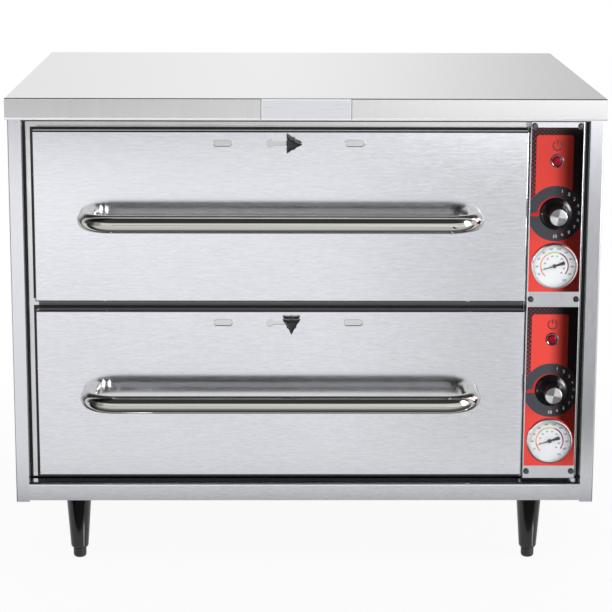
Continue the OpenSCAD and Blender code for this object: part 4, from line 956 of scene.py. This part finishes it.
def start_disc(radius, place, corners=96):
    """A filled disc that faces the viewer, open in edit mode."""
    start_clean()
    bpy.ops.mesh.primitive_circle_add(vertices=corners, radius=radius, fill_type="NGON",
                                      location=place, rotation=facing_front)
    open_for_editing()


def start_plane(middle, width, height, kind="FACE"):
    """A plane that faces the viewer, open in edit mode."""
    start_clean()
    bpy.ops.mesh.primitive_plane_add(size=1, location=middle, rotation=facing_front)
    open_for_editing(kind)
    bpy.ops.transform.resize(value=(width, 1, height), center_override=middle)


def start_box(middle, size):
    start_clean()
    bpy.ops.mesh.primitive_cube_add(size=1, location=middle)
    open_for_editing()
    bpy.ops.transform.resize(value=size, center_override=middle)


def select_where(parts, kind, test):
    """Selects the open piece's parts ("vertices", "edges", "polygons") that pass a test."""
    bpy.ops.object.mode_set(mode="OBJECT")
    mesh = bpy.context.active_object.data
    for part in getattr(mesh, parts):
        part.select = test(mesh, part)
    bpy.ops.object.mode_set(mode="EDIT")
    bpy.ops.mesh.select_mode(type=kind)


def pull_forward(distance, grow=1.0, centre=(0, 0, 0)):
    """Extrudes what is selected towards the viewer and scales it about the centre."""
    bpy.ops.mesh.extrude_region_move(TRANSFORM_OT_translate={"value": (0, -distance, 0)})
    if grow != 1.0:
        bpy.ops.transform.resize(value=(grow, 1, grow), center_override=centre)


def thicken(distance):
    bpy.ops.mesh.select_all(action="SELECT")
    pull_forward(distance)


def turned(name, place, steps, corners=96, angle=35):
    """A turned shape: steps are (depth forward, radius) in millimetres."""
    start_disc(steps[0][1] * mm, place, corners)
    for (depth, radius), (next_depth, next_radius) in zip(steps, steps[1:]):
        pull_forward((next_depth - depth) * mm, next_radius / radius, place)
    return close_piece(name, angle)


def close_piece(name, angle=35):
    bpy.ops.mesh.select_all(action="SELECT")
    bpy.ops.mesh.remove_doubles(threshold=1e-6)
    bpy.ops.mesh.normals_make_consistent(inside=False)
    bpy.ops.object.mode_set(mode="OBJECT")
    bpy.ops.object.transform_apply(location=True, rotation=True, scale=True)
    bpy.ops.object.shade_smooth_by_angle(angle=math.radians(angle))
    piece = bpy.context.active_object
    piece.name = piece.data.name = name
    return piece


def select_only(*pieces):
    start_clean()
    for piece in pieces:
        piece.select_set(True)
    bpy.context.view_layer.objects.active = pieces[0]


def copy_of(piece, name, offset, turn=0.0, centre=(0, 0, 0)):
    """A copy with its own mesh, moved by offset, then turned about the viewer's axis."""
    select_only(piece)
    bpy.ops.object.duplicate()
    twin = bpy.context.active_object
    twin.name = twin.data.name = name
    bpy.ops.transform.translate(value=offset)
    bpy.ops.object.transform_apply(location=True, rotation=True, scale=True)
    if turn:
        around = Matrix.Translation(centre) @ Matrix.Rotation(turn, 4, "Y")
        twin.data.transform(around @ Matrix.Translation(-Vector(centre)))
    return twin


def joined(name, *pieces):
    select_only(*pieces)
    if len(pieces) > 1:
        bpy.ops.object.join()
    piece = bpy.context.active_object
    piece.name = piece.data.name = name
    return piece


def seat(piece, body, slot, material, *stands_for):
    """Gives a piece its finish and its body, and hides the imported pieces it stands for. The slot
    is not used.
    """
    piece.data.materials.clear()
    piece.data.materials.append(material)
    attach(piece, body)
    if stands_for:
        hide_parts(*stands_for)


def open_edges(piece):
    """How many edges don't lie between exactly two faces: none on a closed shape."""
    shared = {}
    for polygon in piece.data.polygons:
        for edge in polygon.edge_keys:
            shared[edge] = shared.get(edge, 0) + 1
    return sum(count != 2 for count in shared.values())


# %% [markdown]
# ## Thermostat knobs
#
# The knob is one black moulding: a rounded skirt that lies just off the label, then a slope
# that narrows to a nearly straight grip. It could be a curve that is spun, but a disc that is
# pulled forward ring by ring keeps every radius readable. Each step below is a depth and a
# radius in millimetres. The upper and lower knob are the same part, so the second is a copy,
# 226 mm further down.

# %% Knob body
knob_back_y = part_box("upper_thermostat_knob")[1].y
knob_upper_z = label_feet["upper"] + knob_v * mm
knob_place = (label_middle_x, knob_back_y, knob_upper_z)
knob_steps = ((0, 19.6), (0.3, 20.1), (1.4, 20.2), (2.0, 19.9), (2.9, 18.6), (3.9, 16.8),
              (5.2, 15.1), (7.2, 13.8), (10, 13.0), (13.5, 12.4), (19, 12.0), (25.5, 11.65),
              (26.9, 11.5), (27.5, 11.2), (27.8, 10.8), (27.6, 10.6), (26.8, 10.5))
one_pitch_down = (0, 0, -label_pitch)
upper_knob = turned("upper_knob_body", knob_place, knob_steps)
lower_knob = copy_of(upper_knob, "lower_knob_body", one_pitch_down)
print("knob body", len(upper_knob.data.polygons), "faces, open edges", open_edges(upper_knob))

# %% [markdown]
# The silver cap is a pressed aluminium disc, turned on a lathe, so its scratches are circles.
# Round scratches throw light into two bright fans and two dark ones. The shader does that when
# its tangent runs round the knob's axis, which a Tangent node gives. A painted highlight and
# painted shade in the colour, two paler fans and two darker ones, strengthen it.

# %% Spun cap
rings_per_mm = 2.4
fan_turn, fan_dark, fan_bright = -0.35, -0.35, 0.4


def spun_cap_finish():
    material, tree, shader = new_material("spun_cap", Metallic=1.0, Anisotropic=0.85)
    across, up = printed_place(tree, knob_v)
    radius = length_of(tree, across, up)
    rings = node(tree, "CombineXYZ", {0: radius}).outputs[0]
    closer = {0: rings, 1: (rings_per_mm, 1, 1)}
    rings = node(tree, "VectorMath", closer, operation="MULTIPLY").outputs[0]
    grain = use_group(tree, brushed_grain, {"Vector": rings})
    tone = mix_colour(tree, grain["Tone"], (0.84, 0.84, 0.85, 1), (0.96, 0.96, 0.97, 1))
    turn = times(tree, math_node(tree, "ARCTAN2", across, up), 2)
    # Painted highlight and shade: two paler and two darker fans in the cap's colour.
    fans = math_node(tree, "SINE", plus(tree, turn, fan_turn))
    fans = mix_colour(tree, rise(tree, fans, fan_dark, fan_bright), (0.25, 0.25, 0.27, 1), white)
    dress(tree, shader, tint(tree, tone, fans), grain["Tone"], (0.24, 0.34))
    round_way = node(tree, "Tangent", direction_type="RADIAL", axis="Y")
    tree.links.new(round_way.outputs[0], shader.inputs["Tangent"])
    return material


spun_cap = spun_cap_finish()
cap_steps = ((26.7, 10.45), (28.6, 10.45), (29.15, 10.3), (29.4, 9.9), (29.45, 9.4),
             (29.3, 5.0), (29.2, 0.6))
cap_place = (label_middle_x, knob_back_y - cap_steps[0][0] * mm, knob_upper_z)
upper_cap = turned("upper_knob_cap", cap_place, cap_steps)
lower_cap = copy_of(upper_cap, "lower_knob_cap", one_pitch_down)

# %% [markdown]
# The pointer is a white wedge let into the skirt at nine o'clock, its tip near the rim. It is
# a plane whose outer end is narrowed, then pulled forward. Last, its thick end is lifted, so
# that its face follows the slope of the skirt.

# %% Pointer
pointer_tip, pointer_root = 18.6, 12.6
pointer_width, pointer_thick, pointer_lift = 2.3 * mm, 0.9 * mm, 2.6 * mm


def make_pointer():
    away, length = (pointer_tip + pointer_root) / 2 * mm, (pointer_tip - pointer_root) * mm
    middle = (label_middle_x - away, knob_back_y - 2.2 * mm, knob_upper_z)
    start_plane(middle, length, pointer_width)
    select_where("vertices", "VERT", lambda mesh, vertex: vertex.co.x < 0)
    bpy.ops.transform.resize(value=(1, 1, 0.25), center_override=middle)
    bpy.ops.mesh.select_mode(type="FACE")
    thicken(pointer_thick)
    piece = close_piece("upper_knob_pointer")
    for vertex in piece.data.vertices:
        if vertex.co.y < knob_back_y - 2.6 * mm:
            inward = (vertex.co.x - label_middle_x) / mm + pointer_tip
            vertex.co.y -= inward / (pointer_tip - pointer_root) * pointer_lift
    return piece


upper_pointer = make_pointer()
lower_pointer = copy_of(upper_pointer, "lower_knob_pointer", one_pitch_down)

# %% Dress the knobs
pointer_white = moulded("pointer_white", (0.86, 0.86, 0.86), 0.35)
for side, body, cap, pointer in (("upper", upper_knob, upper_cap, upper_pointer),
                                 ("lower", lower_knob, lower_cap, lower_pointer)):
    seat(body, f"{side}_knob", "knob_black", knob_black, f"{side}_thermostat_knob")
    seat(cap, f"{side}_knob", "bezel_chrome", spun_cap)
    seat(pointer, f"{side}_knob", "dial_white", pointer_white)
print("knobs reach y", round(min(v.co.y for v in upper_cap.data.vertices), 4))

# %% [markdown]
# ## Vent knobs
#
# A three-lobed knob slides each vent damper. Its outline is a triangle whose sides are drawn
# in, so a thumb finds the lobes, and its front is dished. The outline starts as a disc of 48
# corners. Each corner is moved out to the radius of its angle from the nearest tip.

# %% Lobed outline
lobe_corners = 48


def lobe_radius(degrees_from_tip):
    """The radius in millimetres: 12.7 at a tip, 7.0 in the middle of a side, less between."""
    share = min(degrees_from_tip / 60, 1.0)
    straight = 6.5 / math.cos(math.radians(60 - degrees_from_tip))
    return min(12.7, straight * (1 - 0.17 * math.sin(math.pi * share)) + 0.5)


def make_vent_knob(name, centre):
    neck = turned("neck", centre, ((0, 5.0), (0.6, 5.4), (3.2, 5.4), (4.4, 6.2), (5.0, 6.2)), 48)
    front = (centre[0], centre[1] - 4.4 * mm, centre[2])
    start_disc(1 * mm, front, lobe_corners)
    bpy.ops.object.mode_set(mode="OBJECT")
    piece = bpy.context.active_object
    step = 360 / lobe_corners
    for vertex in piece.data.vertices:
        turn = math.degrees(math.atan2(vertex.co.y, vertex.co.x)) % 120
        vertex.co *= lobe_radius(min(turn, 120 - turn))
    open_for_editing()
    bpy.ops.transform.resize(value=(0.9, 1, 0.9), center_override=front)
    sides = ((1.1, 1 / 0.9), (8.2, 1.0), (1.5, 0.94), (1.3, 0.86))
    dish = ((-0.2, 0.86), (-0.9, 0.8), (-0.2, 0.5))
    for depth, grow in sides + dish:
        pull_forward(depth * mm, grow, front)
    lobes = close_piece("lobes", 28)
    return joined(name, neck, lobes)


slot_z = 0.5622
vent_x = -0.01785
upper_vent_centre = (vent_x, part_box("upper_vent_knob")[1].y, slot_z)
upper_vent = make_vent_knob("upper_vent_knob_body", upper_vent_centre)
vent_down = Vector((0, 0, -label_pitch))
lower_vent = copy_of(upper_vent, "lower_vent_knob_body", vent_down, math.radians(90),
                     Vector(upper_vent_centre) + vent_down)
seat(upper_vent, "upper_damper_knob", "knob_black", vent_knob_black, "upper_vent_knob")
seat(lower_vent, "lower_damper_knob", "knob_black", vent_knob_black, "lower_vent_knob")
print("vent knob", len(upper_vent.data.polygons), "faces, open edges", open_edges(upper_vent))

# %% [markdown]
# ## Pilot lamps
#
# A pilot lamp is a chrome ring that screws a barrel into the panel, with a domed red lens
# sunk in it. The ring is turned in one go: up the outside, over the rim, and back down the
# inside to the seat of the lens. The barrel goes through the panel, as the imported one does.

# %% Rings and lenses
lamp_upper_z = label_feet["upper"] + lamp_v * mm
lamp_back_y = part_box("pilot_lamp_bodies")[1].y
label_face_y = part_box("control_labels")[0].y
barrel_deep = (lamp_back_y - label_face_y) / mm
lamp_place = (label_middle_x, lamp_back_y, lamp_upper_z)
ring_rim = ((0, 8.5), (0.9, 8.5), (1.9, 8.2), (2.6, 7.5), (2.7, 6.9), (2.3, 6.3), (0.9, 6.1))
ring_steps = ((0, 5.6), (barrel_deep - 0.2, 6.0),
              *((barrel_deep + proud, radius) for proud, radius in ring_rim))
lens_steps = ((0.8, 6.05), (1.7, 6.0), (2.6, 5.5), (3.3, 4.5), (3.7, 3.0), (3.9, 1.2),
              (3.92, 0.3))
upper_ring = turned("lamp_ring", lamp_place, ring_steps, 64, 25)
lens_place = (label_middle_x, label_face_y - lens_steps[0][0] * mm, lamp_upper_z)
upper_lens = turned("lamp_lens", lens_place, lens_steps, 64, 60)
lamp_rings = joined("pilot_lamp_rings", upper_ring, copy_of(upper_ring, "ring", one_pitch_down))
lamp_lenses = joined("pilot_lamp_domes", upper_lens, copy_of(upper_lens, "lens", one_pitch_down))
# Painted shade: the lamp rings' chrome is given a far darker colour than the bezels' chrome.
ring_chrome_painted_dark = polished_metal("ring_chrome_painted_dark", (0.26, 0.255, 0.26), 0.05, (200, 200, 200))
seat(lamp_rings, "cabinet", "bezel_chrome", ring_chrome_painted_dark, "pilot_lamp_bodies")
seat(lamp_lenses, "cabinet", "lens_red", lens_red, "pilot_lamp_lenses")
print("lamp rings, open edges", open_edges(lamp_rings))

# %% [markdown]
# ## Printed numbers
#
# Numbers run clockwise round each thermostat knob, one every 18.5 degrees, from 1 near the top
# to 10 at the bottom, all upright. A text object gives the shape of a figure. It is made a
# mesh while it still lies at the origin, and only then moved to its place on the label.

# %% Figures
def make_figure(number, height, place, boldness, thickness):
    start_clean()
    bpy.ops.object.text_add()
    figure = bpy.context.active_object
    figure.data.body = str(number)
    figure.data.align_x = "CENTER"
    figure.data.align_y = "CENTER"
    figure.data.size = height / 0.72
    figure.data.offset = boldness
    figure.data.extrude = thickness
    figure.data.resolution_u = 5
    bpy.ops.object.convert(target="MESH")
    figure = bpy.context.active_object
    figure.rotation_euler = facing_front
    figure.location = place
    open_for_editing()
    return close_piece("figure", 30)


def round_the_clock(radius, degrees, centre_v, y):
    turn = math.radians(degrees)
    return (label_middle_x + radius * math.sin(turn) * mm, y,
            label_feet["upper"] + (centre_v + radius * math.cos(turn)) * mm)


# %% Numbers round the knobs
number_ink = polished_metal("number_ink", (0.93, 0.93, 0.95), 0.06, (300, 300, 300))
number_y = label_face_y - 0.02 * mm
number_radius, number_step, number_start = 28.9, 18.5, -3.8
number_height, number_bold, number_thick = 4.1 * mm, 0.14 * mm, 0.08 * mm
knob_figures = []
for number in range(1, 11):
    place = round_the_clock(number_radius, number_step * number + number_start, knob_v, number_y)
    knob_figures.append(make_figure(number, number_height, place, number_bold, number_thick))
upper_numbers = joined("upper_knob_numbers", *knob_figures)
lower_numbers = copy_of(upper_numbers, "lower_knob_numbers", one_pitch_down)
for piece in (upper_numbers, lower_numbers):
    seat(piece, "cabinet", "dial_white", number_ink)
print("numbers use", len(upper_numbers.data.polygons), "faces")

# %% [markdown]
# The thermometer's dial carries two rings of small figures. They are so small that the eye
# only sees a grey texture of print, but they are real figures here, in even steps.

# %% Numbers on the dials
dial_ink = moulded("dial_ink", (0.07, 0.07, 0.12), 0.5)
dial_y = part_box("thermometer_dials")[0].y - 0.01 * mm
figure_bold, figure_thick = 0.06 * mm, 0.04 * mm
# How many, what each is worth, height, radius, first angle and step of each ring of figures.
dial_rows = ((11, 20, 2.3, 21.7, dial_start, dial_swing / 11), (9, 10, 2.0, 12.4, 225, 30))
dial_figures = []
for count, worth, height, radius, start, step in dial_rows:
    for number in range(1, count + 1):
        place = round_the_clock(radius, start + step * number, gauge_v, dial_y)
        dial_figures.append(make_figure(worth * number, height * mm, place, figure_bold,
                                        figure_thick))
upper_dial_numbers = joined("upper_dial_numbers", *dial_figures)
lower_dial_numbers = copy_of(upper_dial_numbers, "lower_dial_numbers", one_pitch_down)
for piece in (upper_dial_numbers, lower_dial_numbers):
    seat(piece, "cabinet", "dial_white", dial_ink)

# %% [markdown]
# ## Power signs
#
# Above each lamp is the common sign for power: a ring that is open at the top, with a short
# bar in the gap. A disc is inset, its middle deleted, the gap's faces deleted, and the rest is
# pulled forward by the thickness of the ink.

# %% Power sign
sign_ink = moulded("sign_ink", (0.05, 0.02, 0.025), 0.4)
sign_z = 0.5599
sign_gap_degrees = 26
sign_radius, sign_stroke, sign_thick = 6.3 * mm, 1.35 * mm, 0.1 * mm
bar_up, bar_width, bar_height = 4.2 * mm, 1.45 * mm, 5.8 * mm


def in_sign_gap(mesh, polygon):
    turn = math.degrees(math.atan2(polygon.center.x, polygon.center.y))
    return abs(turn) < sign_gap_degrees


def make_power_sign():
    place = (label_middle_x, label_face_y - 0.01 * mm, sign_z)
    start_disc(sign_radius, place, 72)
    bpy.ops.mesh.inset(thickness=sign_stroke)
    bpy.ops.mesh.delete(type="FACE")
    select_where("polygons", "FACE", in_sign_gap)
    bpy.ops.mesh.delete(type="FACE")
    thicken(sign_thick)
    ring = close_piece("sign_ring")
    start_plane((place[0], place[1], place[2] + bar_up), bar_width, bar_height)
    thicken(sign_thick)
    return joined("upper_power_sign", ring, close_piece("sign_bar"))


upper_sign = make_power_sign()
lower_sign = copy_of(upper_sign, "lower_power_sign", one_pitch_down)
for piece in (upper_sign, lower_sign):
    seat(piece, "cabinet", "needle_black", sign_ink)
print("power sign, open edges", open_edges(upper_sign))

# %% [markdown]
# ## Hem of the cover
#
# The cover's turned-down band ends in a hem: the sheet is folded back on itself so that no
# hand meets a cut edge. It shows as a bright rounded line all round, just above the drawers,
# partly from its rounded shape and partly from a painted highlight: its steel is paler and
# less metallic than the cover's.
# A box the size of the cover loses its top and bottom, gets a wall, and is rounded by a bevel.

# %% Hem
hem_height, hem_wall, hem_proud, hem_roll = 3.0 * mm, 2.7 * mm, 0.25 * mm, 1.25 * mm


def make_hem():
    low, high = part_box("top_cover")
    size = high - low + Vector((hem_proud, hem_proud, 0)) * 2
    middle = Vector(((low.x + high.x) / 2, (low.y + high.y) / 2, low.z + hem_height / 2))
    start_box(middle, (size.x, size.y, hem_height))
    select_where("polygons", "FACE", lambda mesh, polygon: abs(polygon.normal.z) > 0.5)
    bpy.ops.mesh.delete(type="FACE")
    bpy.ops.object.mode_set(mode="OBJECT")
    bpy.ops.object.transform_apply(location=True, rotation=True, scale=True)
    piece = bpy.context.active_object
    wall = piece.modifiers.new("wall", "SOLIDIFY")
    wall.thickness, wall.offset = hem_wall, -1
    bpy.ops.object.modifier_apply(modifier="wall")
    outer_x = size.x / 2 - hem_wall / 2
    outer_y = size.y / 2 - hem_wall / 2

    def on_outer_foot(mesh, edge):
        ends = [mesh.vertices[index].co - middle for index in edge.vertices]
        return all(end.z < 0 and abs(end.x) > outer_x and abs(end.y) > outer_y for end in ends)

    select_where("edges", "EDGE", on_outer_foot)
    bpy.ops.mesh.bevel(offset=hem_roll, segments=5)
    bpy.ops.mesh.select_mode(type="FACE")
    return close_piece("cover_hem", 50)


cover_hem = make_hem()
# Painted highlight: the hem's steel is paler and less metallic than the cover it is folded from.
hem_steel_painted_bright = polished_metal("hem_steel_painted_bright", (0.93, 0.93, 0.94), 0.2, (60, 60, 60))
hem_shader = hem_steel_painted_bright.node_tree.nodes["Principled BSDF"]
hem_shader.inputs["Metallic"].default_value = 0.6
seat(cover_hem, "cabinet", "cover_steel", hem_steel_painted_bright)
print("hem, open edges", open_edges(cover_hem))

# %% [markdown]
# ## Painted shade round the drawers
#
# Behind each drawer front a flat black frame lies round the opening. It is painted shade: its
# black makes the thin lines of shade between the drawers and the face frame. It is a plane the
# size of the drawer front, widened on each side by a margin of its own and hollowed by an inset.
# It lies on the face frame without touching the drawer.

# %% Painted shade frames round the drawers
# Painted shade: one black finish for the frames, the strip and the beads that stand for shade in
# the gaps.
shade_black = moulded("shade_black", (0.035, 0.035, 0.037), 0.4)
shade_ring_width, shade_ring_thick, lower_shade_ring_foot = 9 * mm, 0.9 * mm, 9.0 * mm
shade_ring_margins = {"top": 1.8 * mm, "left": 4.8 * mm, "bottom": 1.0 * mm, "right": 0.3 * mm}


def make_seal(name, front, below_by):
    low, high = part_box(front)
    frame_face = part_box("face_frame")[0].y
    left, right = low.x - shade_ring_margins["left"], high.x + shade_ring_margins["right"]
    foot, head = low.z - below_by, high.z + shade_ring_margins["top"]
    middle = Vector(((left + right) / 2, frame_face + 0.2 * mm, (foot + head) / 2))
    start_plane(middle, right - left, head - foot)
    bpy.ops.mesh.inset(thickness=shade_ring_width)
    bpy.ops.mesh.delete(type="FACE")
    thicken(shade_ring_thick)
    piece = close_piece(name)
    seat(piece, "cabinet", "foot_black", shade_black)
    return piece


upper_shade_ring = make_seal("upper_drawer_shade_ring", "upper_drawer_front", shade_ring_margins["bottom"])
lower_shade_ring = make_seal("lower_drawer_shade_ring", "lower_drawer_front", lower_shade_ring_foot)
print("seals, open edges", open_edges(upper_shade_ring), open_edges(lower_shade_ring))

# %% [markdown]
# A thin black strip lies under the cover's hem, where the cover rests on the cabinet. It is
# painted shade: from the front it is only a dark line of shade. It is a flat bar with bevelled
# edges.

# %% Painted shade strip under the cover
strip_half, strip_thick = 0.3500, 1.7 * mm


def make_cover_strip():
    cover_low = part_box("top_cover")[0]
    back_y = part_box("face_frame")[0].y - 0.3 * mm
    front_y = cover_low.y + 1.4 * mm
    middle = Vector((0, (front_y + back_y) / 2, cover_low.z - strip_thick / 2 + 0.05 * mm))
    start_box(middle, (2 * strip_half, back_y - front_y, strip_thick))
    bpy.ops.mesh.bevel(offset=0.25 * mm, segments=2)
    return close_piece("cover_shade_strip")


cover_shade_strip = make_cover_strip()
# Painted shade: the black strip stands for the shadow gap under the hem.
seat(cover_shade_strip, "cabinet", "foot_black", shade_black)

# %% [markdown]
# A black bead fills the joint between each side panel and the face frame. Its black is painted
# shade, for the shade in that joint. It is a long bar with its two front edges rounded, so that
# light draws one thin line down its middle.

# %% Painted shade beads beside the side panels
bead_width, bead_proud, bead_roll = 4.0 * mm, 3.0 * mm, 1.4 * mm
bead_middle_x = 0.3500


def is_front_upright(mesh, edge):
    first, second = (mesh.vertices[index].co for index in edge.vertices)
    return first.y < 0 and second.y < 0 and abs(first.x - second.x) < 1e-6


def make_bead():
    frame_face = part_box("face_frame")[0].y
    rail_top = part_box("front_rail")[1].z
    cover_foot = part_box("top_cover")[0].z
    middle = Vector((-bead_middle_x, frame_face - bead_proud / 2 + 0.2 * mm,
                     (rail_top + cover_foot) / 2))
    start_box(middle, (bead_width, bead_proud, cover_foot - rail_top))
    select_where("edges", "EDGE", is_front_upright)
    bpy.ops.mesh.bevel(offset=bead_roll, segments=6)
    bpy.ops.mesh.select_mode(type="FACE")
    return close_piece("left_bead", 50)


left_bead = make_bead()
right_bead = copy_of(left_bead, "right_bead", (2 * bead_middle_x, 0, 0))
# Painted shade: the beads' black stands for the shade in the joints.
for piece in (left_bead, right_bead):
    seat(piece, "cabinet", "foot_black", shade_black)
print("bead, open edges", open_edges(left_bead))

# %% [markdown]
# ## Edges of the vent slots
#
# Each vent slot is pressed through the front: its corners are cut off and its edge is rolled
# inwards. Along the foot of the slot a thin dark line is painted shade: the faces of the edge that
# look up are darkened almost to black. The imported front has the plain opening. A plane a little
# larger than the slot has its corners bevelled, is inset, loses its middle, is pulled forward to
# sit in the sheet, and has its front rounded by a bevel.

# %% Slot edges
slot_width, slot_height, slot_corner, slot_ring = 23.4 * mm, 7.6 * mm, 2.6 * mm, 2.4 * mm
slot_roll = 1.0 * mm
slot_places = {"left": -0.10325, "right": 0.05975}


def make_slot_edge(name, x, z):
    sheet_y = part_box("upper_drawer_front")[0].y
    middle = Vector((x, sheet_y + 0.95 * mm, z))
    start_plane(middle, slot_width + 2 * slot_ring, slot_height + 2 * slot_ring, "VERT")
    bpy.ops.mesh.bevel(offset=slot_corner + 0.586 * slot_ring, segments=1, affect="VERTICES")
    bpy.ops.mesh.select_mode(type="FACE")
    bpy.ops.mesh.select_all(action="SELECT")
    bpy.ops.mesh.inset(thickness=slot_ring)
    bpy.ops.mesh.delete(type="FACE")
    thicken(0.98 * mm)
    bpy.ops.object.mode_set(mode="OBJECT")
    bpy.ops.object.transform_apply(location=True, rotation=True, scale=True)
    bpy.ops.object.mode_set(mode="EDIT")
    bpy.ops.mesh.select_mode(type="EDGE")
    bpy.ops.mesh.bevel(offset=slot_roll * 0.9, segments=4)
    bpy.ops.mesh.select_mode(type="FACE")
    return close_piece(name, 40)


slot_steel = sheet_steel("slot_steel", steel_colour, grain_level, (0, 0, 1))
# Painted shade: the faces of the slot edges that look up are darkened almost to black.
dull_top_flanges(slot_steel, 0.06)
for side, x in slot_places.items():
    upper_edge = make_slot_edge(f"upper_slot_edge_{side}", x, slot_z)
    lower_edge = copy_of(upper_edge, f"lower_slot_edge_{side}", one_pitch_down)
    seat(upper_edge, "upper_drawer", "front_steel", slot_steel)
    seat(lower_edge, "lower_drawer", "front_steel", slot_steel)
    print("slot edge", side, "open edges", open_edges(upper_edge))

# %% [markdown]
# ## Close
#
# The dressed model must fill the same box as the imported one. Only the hem stands proud of it,
# by a quarter of a millimetre.

# %% The view transform
bpy.context.scene.view_settings.view_transform = "Standard"
